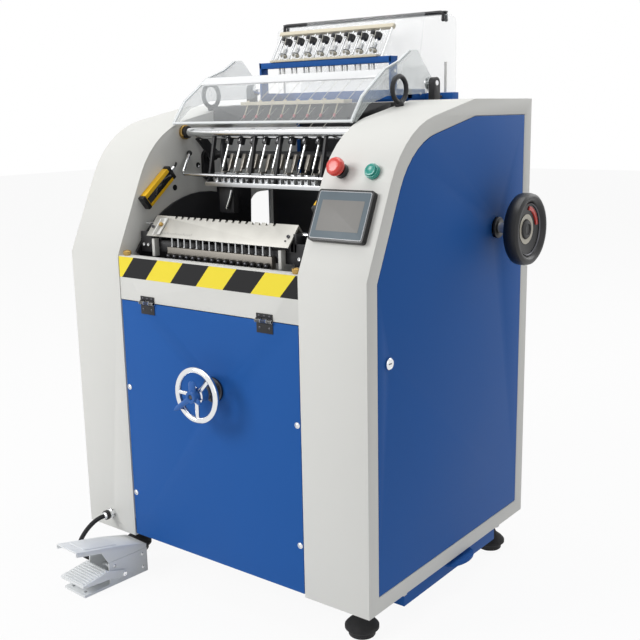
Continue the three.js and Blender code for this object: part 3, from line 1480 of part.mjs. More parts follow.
// The cord leaves the gland forwards, drops beside the pedal and turns into its left side
const cordPlaces = [
  [85, -30.3, 130], [85, -40, 129.8], [84.4, -52, 127.6], [82.6, -64, 122], [79, -75, 112.5],
  [73.4, -83, 100], [66.4, -87, 86], [59, -87, 71], [52.4, -83, 57], [47.2, -76, 44], [43.8, -67, 32],
  [42.6, -56.5, 21.6], [43.6, -45.5, 13.6], [47, -35, 8.8], [52.6, -26, 7.4], [60, -19, 9],
  [69.5, -14.7, 13.2], [78, -13.8, 17.2], [86, -14.35, 18], [93.67, -14.89, 18],
];

function pedalCord() {
  const route = new THREE.CatmullRomCurve3(cordPlaces.map((place) => new THREE.Vector3(...place)));
  return tubeAlong(route.getSpacedPoints(cordSteps), cordRadius, cordSides);
}

// Assembly
const machine = new THREE.Group();
machine.add(
  node('base_frame', baseFrame(), greyPaint()),
  ...footPlaces.map((place, i) => node(`levelling_foot_${i + 1}`, levellingFoot(place), rubber())),
  node('left_casing', leftCasing(), whitePaint()),
  node('right_casing', rightCasing(), whitePaint()),
  node('left_side_panel', cut(sidePanel('left'), serviceHole()), bluePaint()),
  node('right_side_panel', rightSidePanel(), bluePaint()),
  node('left_cheek', cheekPlate('left'), whitePaint()),
  node('right_cheek', cheekPlate('right'), whitePaint()),
  node('front_upper_panel', frontUpperPanel(), whitePaint()),
  node('rear_panel', rearPanel(), bluePaint()),
  node('rear_bulkhead', rearBulkhead(), greyPaint()),
  node('front_door', frontDoor(), bluePaint()),
  node('wheel_bearing', wheelBearingBody(), blackPaint()),
  node('front_handwheel', frontHandwheel(), chrome()),
  node('clamp_lever', clampLever(), bluePaint()),
  node('adjust_gearbox', adjustGearbox(), greyPaint()),
  node('head_tube', headTubeBody(), chrome()),
  node('needle_plate_bar', needlePlateBar(), steel()),
  node('needle_carriage', needleCarriage(), chrome()),
  node('needle_rocker', needleRocker(), blackPaint()),
  node('swing_frame', swingFrame(), blackPaint()),
  node('saddle_plate', saddlePlate(), steel()),
  node('piercing_rods', piercingRods(), steel()),
  node('side_gauge', sideGaugeBody(), whitePaint()),
  node('guard_rail', guardRail(), chrome()),
  node('left_light_curtain', lightCurtain('left'), blackPlastic()),
  node('right_light_curtain', lightCurtain('right'), blackPlastic()),
  node('clear_cover', clearCover(), clearPlastic()),
  node('left_cover_hinge', coverHingeBlock('left'), blackPaint()),
  node('right_cover_hinge', coverHingeBlock('right'), blackPaint()),
  node('left_lifting_eye', liftingEye('left'), blackPaint()),
  node('right_lifting_eye', liftingEye('right'), blackPaint()),
  node('take_up_bar', takeUpBar(), whitePaint()),
  node('head_beam', headBeamBody(), greyPaint()),
  node('rack_base', rackBase(), bluePaint()),
  node('rack_panel', rackPanel(), clearPlastic()),
  node('rack_frame', rackFrame(), blackPaint()),
  node('rack_sheet', rackSheetBody(), clearPlastic()),
  node('tension_beam', tensionBeamBody(), bluePaint()),
  node('thread_tensioners', threadTensioners(), steel()),
  node('drive_motor', driveMotor(), greyPaint()),
  node('drive_belt', driveBelt(), rubber()),
  node('main_shaft', mainShaft(), steel()),
  node('motor_pulley', motorPulley(), steel()),
  node('side_handwheel', sideHandwheel(), blackPaint()),
  node('control_box', controlBoxBody(), greyPaint()),
  node('cable_gland', cableGland(), blackPlastic()),
  node('side_lock', sideLock(), chrome()),
  node('oil_tray', oilTray(), bluePaint()),
  node('pedal_cord', pedalCord(), rubber()),
);

const slantFace = new THREE.Group();
slantFace.position.set(0, 0, kinkHeight);
slantFace.rotation.x = radians(slantHeading);
slantFace.add(
  node('touch_panel', touchPanel(), blackPlastic()),
  node('button_collars', buttonCollars(), blackPlastic()),
  node('emergency_button', emergencyButton(), finish(0xc01b1b, 0.0, 0.4)),
  node('start_button', startButtonCap(), finish(0x1f9a4a, 0.0, 0.4)),
);
machine.add(slantFace);

const footPedal = new THREE.Group();
footPedal.position.set(pedal.x, pedal.y, 0);
footPedal.rotation.z = -radians(pedal.turn);
footPedal.add(
  node('pedal_base', pedalBase(), castAluminium()),
  node('pedal_hood', pedalHood(), castAluminium()),
  node('treadle', treadlePlate(), castAluminium()),
);
machine.add(footPedal);

// The origin goes to the middle of the footprint, which the cord doesn't count in
machine.updateMatrixWorld(true);
const reach = new THREE.Box3();
machine.traverse((piece) => {
  if (piece.isMesh && piece.name !== 'pedal_cord') {
    reach.expandByObject(piece, true);
  }
});
const middle = reach.getCenter(new THREE.Vector3());
const bookSewingMachine = new THREE.Group();
machine.position.set(-middle.x, -middle.y, -reach.min.z);
bookSewingMachine.add(machine);

export default bookSewingMachine;
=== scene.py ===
import json
import math
import bpy
import bmesh
from mathutils import Matrix, Vector

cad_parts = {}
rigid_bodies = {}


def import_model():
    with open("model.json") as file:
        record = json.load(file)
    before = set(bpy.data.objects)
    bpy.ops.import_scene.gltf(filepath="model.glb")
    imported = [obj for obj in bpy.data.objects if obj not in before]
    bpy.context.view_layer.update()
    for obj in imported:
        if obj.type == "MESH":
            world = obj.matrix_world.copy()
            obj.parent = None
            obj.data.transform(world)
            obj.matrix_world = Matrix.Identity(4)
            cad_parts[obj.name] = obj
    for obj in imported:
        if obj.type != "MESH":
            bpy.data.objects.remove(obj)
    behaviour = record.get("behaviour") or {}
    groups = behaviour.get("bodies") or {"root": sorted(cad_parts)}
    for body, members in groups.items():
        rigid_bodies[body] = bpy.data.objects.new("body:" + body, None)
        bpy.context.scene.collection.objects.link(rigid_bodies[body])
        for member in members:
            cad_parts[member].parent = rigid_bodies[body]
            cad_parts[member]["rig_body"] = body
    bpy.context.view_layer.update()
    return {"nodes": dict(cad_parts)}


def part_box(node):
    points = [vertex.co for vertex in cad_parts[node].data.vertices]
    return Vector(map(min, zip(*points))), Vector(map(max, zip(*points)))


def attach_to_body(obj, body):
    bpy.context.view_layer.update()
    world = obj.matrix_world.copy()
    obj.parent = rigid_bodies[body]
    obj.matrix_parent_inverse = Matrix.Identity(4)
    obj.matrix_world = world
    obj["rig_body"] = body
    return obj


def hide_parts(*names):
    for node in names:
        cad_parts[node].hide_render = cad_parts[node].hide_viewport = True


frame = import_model()
bodyOf = {name: node["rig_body"] for name, node in frame["nodes"].items()}

# Book sewing machine. Drawing millimetres: x from the left arm, y from the front, z from the floor
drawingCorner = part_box("left_casing")[0]
arm = {"width": 165, "throat": 528, "kink": 778, "top": 1113, "slant": 65}
leftWall, rightWall = arm["width"], arm["width"] + arm["throat"]
middleX = arm["width"] + arm["throat"] / 2
fullWidth = 2 * arm["width"] + arm["throat"]
walls = ((leftWall, 1), (rightWall, -1))  # each wall of the throat, and its way inward
toRight, toFront, toBack, upward = (1, 0, 0), (0, -1, 0), (0, 1, 0), (0, 0, 1)


def at(x, y, z):
    return Vector((drawingCorner[0] + x / 1000, drawingCorner[1] + y / 1000, z / 1000))


def onSlant(x, up, out):  # x along the front, up the slanted face, out of it
    turn = math.radians(arm["slant"])
    return (x, up * math.cos(turn) - out * math.sin(turn),
            arm["kink"] + up * math.sin(turn) + out * math.cos(turn))


def leaning(place, lean):  # the way along a line that leans back, the way across it, and places by both
    way = Vector((0, math.sin(lean), math.cos(lean)))
    aside = Vector((0, math.cos(lean), -math.sin(lean)))
    return way, aside, lambda x, along, across=0.0: Vector((x, *place)) + way * along + aside * across


def beside(x, ends):
    return (x + ends[0], x + ends[1])


# camera, at the photograph's place
camera = {"place": (1.39042, -1.688894, 1.09032), "yaw": 37.757, "pitch": -12.207, "roll": -1.104,
          "lens": 53.947, "sensor": 36, "farEnd": 40}


def addCamera():
    yaw, pitch, roll = (math.radians(camera[k]) for k in ("yaw", "pitch", "roll"))
    ahead = Vector((-math.sin(yaw) * math.cos(pitch), math.cos(yaw) * math.cos(pitch), math.sin(pitch)))
    level = Vector((math.cos(yaw), math.sin(yaw), 0))
    upright = level.cross(ahead)
    right = math.cos(roll) * level + math.sin(roll) * upright
    up = -math.sin(roll) * level + math.cos(roll) * upright
    data = bpy.data.cameras.new("photoCamera")
    data.lens = camera["lens"]
    data.sensor_width = camera["sensor"]
    data.clip_end = camera["farEnd"]
    cam = bpy.data.objects.new("photoCamera", data)
    bpy.context.scene.collection.objects.link(cam)
    cam.matrix_world = Matrix((right, up, -ahead)).transposed().to_4x4()
    cam.location = camera["place"]
    bpy.context.scene.camera = cam


addCamera()

# paint: colour, roughness, scale of the grain, its bump, unevenness, and the shine where it isn't the usual
paints = {
    "whiteCoat": ((0.74, 0.74, 0.71), 0.5, 900, 0.10, 0.02),
    "blueCoat": ((0.013, 0.105, 0.39), 0.55, 900, 0.16, 0.05, 0.2),
    "greyCoat": ((0.28, 0.29, 0.30), 0.5, 500, 0.08, 0.04),
    "creamCoat": ((0.72, 0.66, 0.52), 0.45, 500, 0.05, 0.03),
    # near-black paint: the head beam's own dark colour, and painted shade on the rear bulkhead and the back's
    # liner
    "darkGrey": ((0.022, 0.022, 0.024), 0.5, 500, 0.08, 0.05),
    "blackCoat": ((0.012, 0.012, 0.014), 0.45, 700, 0.10, 0.3),
    "yellowCoat": ((0.86, 0.50, 0.012), 0.4, 500, 0.04, 0.03),
    "clampBlue": ((0.018, 0.12, 0.42), 0.35, 400, 0.08, 0.05),
    "castCoat": ((0.86, 0.88, 0.89), 0.48, 420, 0.16, 0.05),
}
# metal: colour, roughness and brush marks. Plastic: colour, roughness and clear coat
metals = {
    "chrome": ((0.80, 0.81, 0.82), 0.10, 0.0),
    "steel": ((0.56, 0.57, 0.58), 0.32, 0.08),
    "darkSteel": ((0.10, 0.10, 0.11), 0.36, 0.05),
    "saddleSteel": ((0.50, 0.49, 0.455), 0.42, 0.05),
    "darkAluminium": ((0.30, 0.28, 0.25), 0.45, 0.08),
    "brass": ((0.52, 0.34, 0.11), 0.28, 0.03),
}
plastics = {
    "blackPlastic": ((0.005, 0.005, 0.006), 0.36, 0.0),
    "blackRubber": ((0.012, 0.012, 0.013), 0.8, 0.0),
    "redPlastic": ((0.74, 0.045, 0.03), 0.25, 0.4),
    "greenPlastic": ((0.008, 0.30, 0.24), 0.3, 0.3),
    "whitePlastic": ((0.76, 0.76, 0.74), 0.35, 0.1),
    "beigePlastic": ((0.62, 0.58, 0.48), 0.35, 0.2),
    "silverPlastic": ((0.52, 0.54, 0.56), 0.35, 0.2),
    "screenGlass": ((0.018, 0.020, 0.022), 0.09, 0.6),
    "slatePlastic": ((0.085, 0.12, 0.145), 0.5, 0.0),
    "screenGrey": ((0.20, 0.195, 0.185), 0.5, 0.0),
    "pinkPlastic": ((0.66, 0.20, 0.22), 0.4, 0.0),
    "sewingThread": ((0.80, 0.78, 0.70), 0.85, 0.0),
}


def shaderOf(name):
    material = bpy.data.materials.new(name)
    material.use_nodes = True
    tree = material.node_tree
    return material, tree, tree.nodes["Principled BSDF"]


def objectNoise(tree, scale, detail):
    coordinates = tree.nodes.new("ShaderNodeTexCoord").outputs["Object"]
    noise = tree.nodes.new("ShaderNodeTexNoise")
    noise.inputs["Scale"].default_value = scale
    noise.inputs["Detail"].default_value = detail
    tree.links.new(coordinates, noise.inputs["Vector"])
    return noise.outputs["Fac"]


def addBump(tree, shader, height, strength, distance):
    bump = tree.nodes.new("ShaderNodeBump")
    bump.inputs["Strength"].default_value = strength
    bump.inputs["Distance"].default_value = distance
    tree.links.new(height, bump.inputs["Height"])
    tree.links.new(bump.outputs["Normal"], shader.inputs["Normal"])


def spread(tree, value, low, high):  # a share from 0 to 1, laid out from low to high
    ramp = tree.nodes.new("ShaderNodeMapRange")
    ramp.inputs["To Min"].default_value = low
    ramp.inputs["To Max"].default_value = high
    tree.links.new(value, ramp.inputs["Value"])
    return ramp.outputs["Result"]


def mixed(tree, share, first, second):
    mix = tree.nodes.new("ShaderNodeMix")
    mix.data_type = "RGBA"
    mix.inputs["A"].default_value = (*first, 1)
    mix.inputs["B"].default_value = (*second, 1)
    tree.links.new(share, mix.inputs["Factor"])
    return mix.outputs["Result"]


def toned(color, change):
    return tuple(min(1.0, channel * (1 + change)) for channel in color)


def paintOver(tree, shader, share, color, tones, rough):  # uneven colour and gloss by one noise
    tint = mixed(tree, share, toned(color, tones[0]), toned(color, tones[1]))
    tree.links.new(tint, shader.inputs["Base Color"])
    tree.links.new(spread(tree, share, *rough), shader.inputs["Roughness"])


paintFinish = {"cloud": 3, "shine": 0.4, "smoother": 0.05, "rougher": 0.06, "grainDepth": 0.0006}


def makePaint(name, color, rough, grain, bump, tone, shine=paintFinish["shine"]):
    material, tree, shader = shaderOf(name)
    shader.inputs["Specular IOR Level"].default_value = shine
    gloss = (rough - paintFinish["smoother"], rough + paintFinish["rougher"])
    paintOver(tree, shader, objectNoise(tree, paintFinish["cloud"], 3), color, (-tone, tone), gloss)
    addBump(tree, shader, objectNoise(tree, grain, 2), bump, paintFinish["grainDepth"])
    return material


metalFinish = {"smudge": 28, "tones": (-0.06, 0.05), "gloss": (0.8, 1.25), "brush": 1400,
               "brushDepth": 0.0003}


def makeMetal(name, color, rough, brush):
    material, tree, shader = shaderOf(name)
    shader.inputs["Metallic"].default_value = 1
    gloss = [rough * share for share in metalFinish["gloss"]]
    paintOver(tree, shader, objectNoise(tree, metalFinish["smudge"], 4), color, metalFinish["tones"], gloss)
    if brush:
        addBump(tree, shader, objectNoise(tree, metalFinish["brush"], 2), brush, metalFinish["brushDepth"])
    return material


plasticFinish = {"smudge": 40, "tones": (-0.08, 0.08), "gloss": (0.85, 1.15), "coatRough": 0.1}


def makePlastic(name, color, rough, coat):
    material, tree, shader = shaderOf(name)
    shader.inputs["Coat Weight"].default_value = coat
    shader.inputs["Coat Roughness"].default_value = plasticFinish["coatRough"]
    gloss = [rough * share for share in plasticFinish["gloss"]]
    smudge = objectNoise(tree, plasticFinish["smudge"], 3)
    paintOver(tree, shader, smudge, color, plasticFinish["tones"], gloss)
    return material


# clear sheet: each finish has its opacity face on and its colour
clearFinish = {"rough": 0.04, "haze": 6, "tone": 0.03, "rimBlend": 0.3, "rimShare": 3}
clears = {
    "clearSheet": (0.09, (0.93, 0.96, 0.97)),
    "sheetEdge": (0.8, (0.92, 0.95, 0.96)),
    "tintedSheet": (0.2, (0.72, 0.78, 0.78)),
    # pale near-opaque sheet: a painted highlight along the top of the clear visor
    "frostedSheet": (0.82, (0.93, 0.94, 0.95)),
}


def makeClear(name, opacity, color):
    material, tree, shader = shaderOf(name)
    haze = objectNoise(tree, clearFinish["haze"], 2)
    tone = clearFinish["tone"]
    tree.links.new(mixed(tree, haze, toned(color, -tone), toned(color, tone)), shader.inputs["Base Color"])
    shader.inputs["Roughness"].default_value = clearFinish["rough"]
    rim = tree.nodes.new("ShaderNodeLayerWeight")
    rim.inputs["Blend"].default_value = clearFinish["rimBlend"]
    alpha = spread(tree, rim.outputs["Facing"], opacity, min(1, opacity * clearFinish["rimShare"]))
    tree.links.new(alpha, shader.inputs["Alpha"])
    return material


# hazard tape: pitch in millimetres along x, lean as x for each z, start in metres
stripes = {"yellow": (0.98, 0.80, 0.05), "black": (0.006, 0.006, 0.007), "pitch": 157, "lean": -0.886,
           "start": 0.04305, "rough": 0.55, "shine": 0.3, "grain": 700, "bump": 0.06, "grainDepth": 0.0005}


def addMath(tree, operation, number, *values):
    node = tree.nodes.new("ShaderNodeMath")
    node.operation = operation
    node.inputs[1].default_value = number
    for socket, value in zip((0, 2), values):
        tree.links.new(value, node.inputs[socket])
    return node.outputs["Value"]


def makeStripes():
    material, tree, shader = shaderOf("hazardStripes")
    shader.inputs["Roughness"].default_value = stripes["rough"]
    shader.inputs["Specular IOR Level"].default_value = stripes["shine"]
    parts = tree.nodes.new("ShaderNodeSeparateXYZ")
    tree.links.new(tree.nodes.new("ShaderNodeTexCoord").outputs["Object"], parts.inputs["Vector"])
    leaning = addMath(tree, "MULTIPLY_ADD", stripes["lean"], parts.outputs["Z"], parts.outputs["X"])
    shifted = addMath(tree, "ADD", stripes["start"], leaning)
    cycle = addMath(tree, "PINGPONG", stripes["pitch"] / 2000, shifted)  # half a pitch, in metres
    half = addMath(tree, "GREATER_THAN", stripes["pitch"] / 4000, cycle)
    tree.links.new(mixed(tree, half, stripes["yellow"], stripes["black"]), shader.inputs["Base Color"])
    addBump(tree, shader, objectNoise(tree, stripes["grain"], 2), stripes["bump"], stripes["grainDepth"])
    return material


looks = {"hazardStripes": makeStripes()}
for make, table in ((makePaint, paints), (makeMetal, metals), (makePlastic, plastics), (makeClear, clears)):
    looks.update({name: make(name, *look) for name, look in table.items()})
print("materials:", len(looks))


# shapes are lists of (points, faces) in drawing millimetres
def axes(direction):
    ahead = Vector(direction).normalized()
    helper = Vector((0, 0, 1)) if abs(ahead.z) < 0.9 else Vector((1, 0, 0))
    side = helper.cross(ahead).normalized()
    return ahead, side, ahead.cross(side)


def fullTurn(sides):
    return [2 * math.pi * i / sides for i in range(sides)]


def block(x, y, z):
    points = [(x[i], y[j], z[k]) for i in (0, 1) for j in (0, 1) for k in (0, 1)]
    return [(points, [(0, 1, 3, 2), (4, 6, 7, 5), (0, 4, 5, 1), (2, 3, 7, 6), (0, 2, 6, 4), (1, 5, 7, 3)])]


def loft(rings, closed=False):
    sides = len(rings[0])
    points = [tuple(p) for ringPoints in rings for p in ringPoints]
    faces = []
    last = len(rings) if closed else len(rings) - 1
    for i in range(last):
        a, b = i * sides, ((i + 1) % len(rings)) * sides
        faces += [(a + j, a + (j + 1) % sides, b + (j + 1) % sides, b + j) for j in range(sides)]
    if not closed:
        faces += [tuple(range(sides))[::-1], tuple(range(len(points) - sides, len(points)))]
    return [(points, faces)]


def hoop(profile, origin, direction, sides=40, closed=True):  # profile of (radius, distance along)
    ahead, side, other = axes(direction)
    rings = []
    for radius, along in profile:
        middle = Vector(origin) + ahead * along
        rings.append([middle + (side * math.cos(t) + other * math.sin(t)) * radius for t in fullTurn(sides)])
    return loft(rings, closed)


def turned(profile, origin, direction, sides=40):  # as hoop, but solid to the axis
    solid = [(max(radius, 0.01), along) for radius, along in profile]
    return hoop(solid, origin, direction, sides, closed=False)


def disc(radius, thick, origin, direction, sides=32):
    return turned([(0, 0), (radius, 0), (radius, thick), (0, thick)], origin, direction, sides)


def rod(start, end, radius, sides=20, endRadius=None):
    length = (Vector(end) - Vector(start)).length
    edge = min(radius * 0.12, 0.6)
    last = radius if endRadius is None else endRadius
    profile = [(radius - edge, 0), (radius, edge), (last, length - edge), (last - edge, length)]
    return turned(profile, start, Vector(end) - Vector(start), sides)


def torus(origin, direction, radius, thick, sides=48, facets=14):
    profile = [(radius + thick * math.cos(t), thick * math.sin(t)) for t in fullTurn(facets)]
    return hoop(profile, origin, direction, sides)


def ball(origin, radius, sides=20):
    steps = [math.pi * i / 10 for i in range(11)]
    return turned([(radius * math.sin(t), -radius * math.cos(t)) for t in steps], origin, upward, sides)


def bentTube(places, radius, sides=12):
    points = [Vector(p) for p in places]
    rings = []
    normal = None
    for i, here in enumerate(points):
        before, after = points[max(i - 1, 0)], points[min(i + 1, len(points) - 1)]
        ahead = (after - before).normalized()
        if normal is None:
            normal = axes(ahead)[1]
        normal = (normal - ahead * normal.dot(ahead)).normalized()
        other = ahead.cross(normal)
        rings.append([here + (normal * math.cos(t) + other * math.sin(t)) * radius for t in fullTurn(sides)])
    return loft(rings)


def rounded(places, bend, steps=6):  # a broken line with its corners rounded
    points = [Vector(p) for p in places]
    line = [points[0]]
    for i in range(1, len(points) - 1):
        start = points[i] + (points[i - 1] - points[i]).normalized() * bend
        end = points[i] + (points[i + 1] - points[i]).normalized() * bend
        for k in range(steps + 1):
            s = k / steps
            line.append(start * (1 - s) ** 2 + points[i] * 2 * s * (1 - s) + end * s ** 2)
    line.append(points[-1])
    return line


def smoothLine(places, steps=8):  # a curve through the places
    points = [Vector(p) for p in places]
    line = []
    for i in range(len(points) - 1):
        p0, p1 = points[max(i - 1, 0)], points[i]
        p2, p3 = points[i + 1], points[min(i + 2, len(points) - 1)]
        for k in range(steps):
            s = k / steps
            line.append(0.5 * (2 * p1 + (p2 - p0) * s + (2 * p0 - 5 * p1 + 4 * p2 - p3) * s * s
                               + (3 * p1 - p0 - 3 * p2 + p3) * s ** 3))
    line.append(points[-1])
    return line


def leanBlock(put, x, along, aside):
    corners = ((0, 0), (1, 0), (1, 1), (0, 1))
    return loft([[put(end, along[k], aside[j]) for j, k in corners] for end in x])


def prism(outline, axis, low, high):  # outline of the two other axes, in the order x, y, z
    def put(pair, along):
        spots = list(pair)
        spots.insert("xyz".index(axis), along)
        return tuple(spots)
    return loft([[put(pair, along) for pair in outline] for along in (low, high)])


def arc(middle, radius, start, end, steps=10):
    turn = [math.radians(start + (end - start) * i / steps) for i in range(steps + 1)]
    return [(middle[0] + radius * math.cos(t), middle[1] + radius * math.sin(t)) for t in turn]


def roundBox(first, second, radius, steps=6):
    (a0, a1), (b0, b1) = [(pair[0] + radius, pair[1] - radius) for pair in (first, second)]
    corners = [(a1, b1), (a0, b1), (a0, b0), (a1, b0)]
    return [p for k, corner in enumerate(corners) for p in arc(corner, radius, 90 * k, 90 * k + 90, steps)]


def knurled(start, end, radius, ridges=28, depth=0.6):
    ahead, side, other = axes(Vector(end) - Vector(start))
    length = (Vector(end) - Vector(start)).length
    rings = []
    for along, share in ((0, 0.9), (0.8, 1), (length - 0.8, 1), (length, 0.9)):
        middle = Vector(start) + ahead * along
        sizes = [radius * share - (depth if i % 2 else 0) for i in range(2 * ridges)]
        rings.append([middle + (side * math.cos(t) + other * math.sin(t)) * size
                      for t, size in zip(fullTurn(2 * ridges), sizes)])
    return loft(rings)


def socketScrew(place, direction, radius=3.5, height=3.5):
    hole = radius * 0.5
    profile = [(0, 0), (radius, 0), (radius, height - 0.5), (radius - 0.5, height), (radius * 0.55, height),
               (hole, height - 1.5), (0, height - 1.5)]
    return turned(profile, place, direction, 18)


def domeScrew(place, direction, radius=4, height=2.2):
    profile = [(0, 0), (radius, 0), (radius, 0.5), (radius * 0.8, height * 0.7), (radius * 0.35, height),
               (radius * 0.3, height * 0.6), (0, height * 0.6)]
    return turned(profile, place, direction, 18)


def hexNut(place, direction, radius, height):
    profile = [(radius * 0.9, 0), (radius, 0.5), (radius, height - 0.5), (radius * 0.9, height)]
    return turned(profile, place, direction, 6)


def placed(shapes, place):  # the shapes with every point sent through place
    return [([place(*p) for p in points], faces) for points, faces in shapes]


def joined(shapeLists):
    return [shape for shapes in shapeLists for shape in shapes]


hardEdge = 38  # degrees


def shade(mesh, sharp):
    for face in mesh.polygons:
        face.use_smooth = True
    mesh.set_sharp_from_angle(angle=math.radians(sharp))


def soften(mesh, width, sharp):  # clean the mesh and bevel its hard edges
    work = bmesh.new()
    work.from_mesh(mesh)
    bmesh.ops.remove_doubles(work, verts=work.verts, dist=1e-6)
    bmesh.ops.dissolve_limit(work, angle_limit=math.radians(1), verts=work.verts, edges=work.edges)
    bmesh.ops.recalc_face_normals(work, faces=work.faces)
    if width:
        hard = [edge for edge in work.edges
                if len(edge.link_faces) == 2 and edge.calc_face_angle(0) > math.radians(sharp)]
        bmesh.ops.bevel(work, geom=hard, offset=width / 1000, segments=2, profile=0.6, affect="EDGES",
                        clamp_overlap=True)
    work.to_mesh(mesh)
    work.free()


def attach(name, mesh, body, look, stands):
    piece = bpy.data.objects.new(name, mesh)
    bpy.context.scene.collection.objects.link(piece)
    mesh.materials.append(looks[look])
    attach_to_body(piece, body)
    if stands:
        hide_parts(*stands)
    return piece


# bevel None leaves the mesh as drawn, and 0 only cleans it
def addPiece(name, look, shapes, stands=(), bevel=None, body="machine"):
    mesh = bpy.data.meshes.new(name)
    points, faces = [], []
    for shapePoints, shapeFaces in shapes:
        start = len(points)
        points += [at(*p) for p in shapePoints]
        faces += [tuple(start + i for i in face) for face in shapeFaces]
    mesh.from_pydata(points, [], faces)
    mesh.update()
    if bevel is not None:
        soften(mesh, bevel, hardEdge)
    shade(mesh, hardEdge)
    attach(name, mesh, body, look, stands)


def dress(node, look, bevel=0.8, sharp=hardEdge):  # the node's own shape with soft edges and a finish
    mesh = bpy.data.objects[node].data.copy()
    mesh.name = node + "Dressed"
    mesh.materials.clear()
    soften(mesh, bevel, sharp)
    shade(mesh, sharp)
    attach(node + "Dressed", mesh, bodyOf[node], look, [node])


# the pedal's cord, from the gland to the left wall of the pedal
cordSet = {"diameter": 11, "length": 0.245}
cordPlaces = [
    (85, -30.3, 130), (85, -40, 129.8), (84.4, -52, 127.6), (82.6, -64, 122), (79, -75, 112.5),
    (73.4, -83, 100), (66.4, -87, 86), (59, -87, 71), (52.4, -83, 57), (47.2, -76, 44), (43.8, -67, 32),
    (42.6, -56.5, 21.6), (43.6, -45.5, 13.6), (47, -35, 8.8), (52.6, -26, 7.4), (60, -19, 9),
    (69.5, -14.7, 13.2), (78, -13.8, 17.2), (86, -14.35, 18), (93.67, -14.89, 18),
]


def addCord():
    curve = bpy.data.curves.new("pedalCord", "CURVE")
    curve.dimensions = "3D"
    curve.bevel_depth = cordSet["diameter"] / 2000
    curve.bevel_resolution = 6
    curve.use_fill_caps = True
    spline = curve.splines.new("POLY")
    line = smoothLine(cordPlaces, 5)
    spline.points.add(len(line) - 1)
    for spot, place in zip(spline.points, line):
        spot.co = (*at(*place), 1)
    piece = attach("pedalCord", curve, "machine", "blackRubber", ["pedal_cord"])


addCord()
print("camera and cord")


# body shell: the solids' own shapes, each with its finish, bevel and what counts as a hard edge
shell = {
    "left_casing": ("whiteCoat", 1.6, 30), "right_casing": ("whiteCoat", 1.6, 30),
    "left_side_panel": ("blueCoat", 0.9), "right_side_panel": ("blueCoat", 0.9),
    "left_cheek": ("whiteCoat", 0.8), "right_cheek": ("whiteCoat", 0.8),
    "base_frame": ("greyCoat", 1.2), "adjust_gearbox": ("greyCoat", 1.2), "control_box": ("greyCoat", 1.2),
    # the rear bulkhead is painted near black as shade, because it lies in shadow behind the needles
    "rear_bulkhead": ("darkGrey", 1.2), "rear_panel": ("blueCoat", 1.0), "front_door": ("blueCoat", 0.9),
    "front_upper_panel": ("whiteCoat", 0.9), "oil_tray": ("blueCoat", 0.7),
}
for node, finish in shell.items():
    dress(node, *finish)
liner = {"x": (169, 689), "y": (672.6, 673.8), "z": (100, 1106)}  # dark sheet over the inner face of the back: painted shade
# thin near-black plate inside the back, painted shade where the inside lies in shadow
addPiece("rearShadeLiner", "darkGrey", block(**liner), bevel=0.2)
print("body shell")

# feet: rubber pad and cup, locknut and threaded stud
feet = {
    "places": [(75, 80), (52, 612), (783, 80), (806, 612)], "stud": (7.9, 49, 122), "nut": (15, 9, 50.5),
    "cup": [(0, 0), (28, 0), (29, 1.5), (29, 12), (30, 13.5), (35, 14), (37, 16), (37, 22), (35, 24.5),
            (30, 30), (22, 36), (16, 42), (13, 50), (0, 50)],
    "thread": [(7.6, 0), (8.0, 0.6), (7.6, 1.2)], "threadsFrom": 60, "turns": 15, "pitch": 2,
}


def addFoot(number, x, y):
    cup = turned(feet["cup"], (x, y, 0), upward, 48)
    addPiece(f"levellingFoot{number}", "blackRubber", cup, [f"levelling_foot_{number}"])
    radius, low, high = feet["stud"]
    wide, tall, nutAt = feet["nut"]
    stud = rod((x, y, low), (x, y, high), radius, 24) + hexNut((x, y, nutAt), upward, wide, tall)
    for k in range(feet["turns"]):
        stud += hoop(feet["thread"], (x, y, feet["threadsFrom"] + feet["pitch"] * k), upward, 24)
    addPiece(f"footStud{number}", "steel", stud)


for number, (x, y) in enumerate(feet["places"], 1):
    addFoot(number, x, y)

# door screws with their washers, and the two hinges
door = {"screws": [(176, 468), (176, 204), (682, 468), (682, 204)], "face": 2.1, "screw": (4.6, 2),
        "washer": [(4.8, 0), (6.6, 0), (6.6, 0.7), (4.8, 0.7)]}
hinge = {"x": (255, 603), "pin": (-2.3, 677), "radius": 4, "half": 22, "plate": (0.4, 1.9), "gap": 4.6,
         "low": 26, "high": 15, "eye": (-1.5, 1.9), "lowEye": (-7, 7), "highEyes": ((-22, -7.8), (7.8, 22)),
         "lowScrews": (-13, 13), "highScrews": (-14, 0, 14)}


def hingeEye(x, ends, heights):
    y, z = hinge["pin"]
    low, high = x + ends[0], x + ends[1]
    return block((low, high), hinge["eye"], heights) + rod((low, y, z), (high, y, z), hinge["radius"], 24)


def addDoorFittings():
    shapes = []
    for x, z in door["screws"]:
        shapes += domeScrew((x, door["face"], z), toFront, *door["screw"])
        shapes += hoop(door["washer"], (x, door["face"], z), toFront, 24)
    addPiece("doorScrews", "chrome", shapes, body="front_door")
    z, half, plate = hinge["pin"][1], hinge["half"], hinge["plate"]
    for side, x in zip(("Left", "Right"), hinge["x"]):
        leaf = block((x - half, x + half), plate, (z - hinge["low"], z - hinge["gap"]))
        leaf += hingeEye(x, hinge["lowEye"], (z - 6, z - 1))
        screws = joined(domeScrew((x + k, plate[0], z - 15), toFront, 3, 1.6) for k in hinge["lowScrews"])
        addPiece(f"doorLeaf{side}", "blackCoat", leaf, bevel=0.3, body="front_door")
        addPiece(f"doorLeafScrews{side}", "darkSteel", screws, body="front_door")
        leaf = block((x - half, x + half), plate, (z + hinge["gap"], z + hinge["high"]))
        leaf += joined(hingeEye(x, ends, (z, z + 6)) for ends in hinge["highEyes"])
        screws = joined(domeScrew((x + k, plate[0], z + 10), toFront, 2.6, 1.4) for k in hinge["highScrews"])
        addPiece(f"panelLeaf{side}", "blackCoat", leaf, bevel=0.3)
        addPiece(f"panelLeafScrews{side}", "darkSteel", screws)


addDoorFittings()

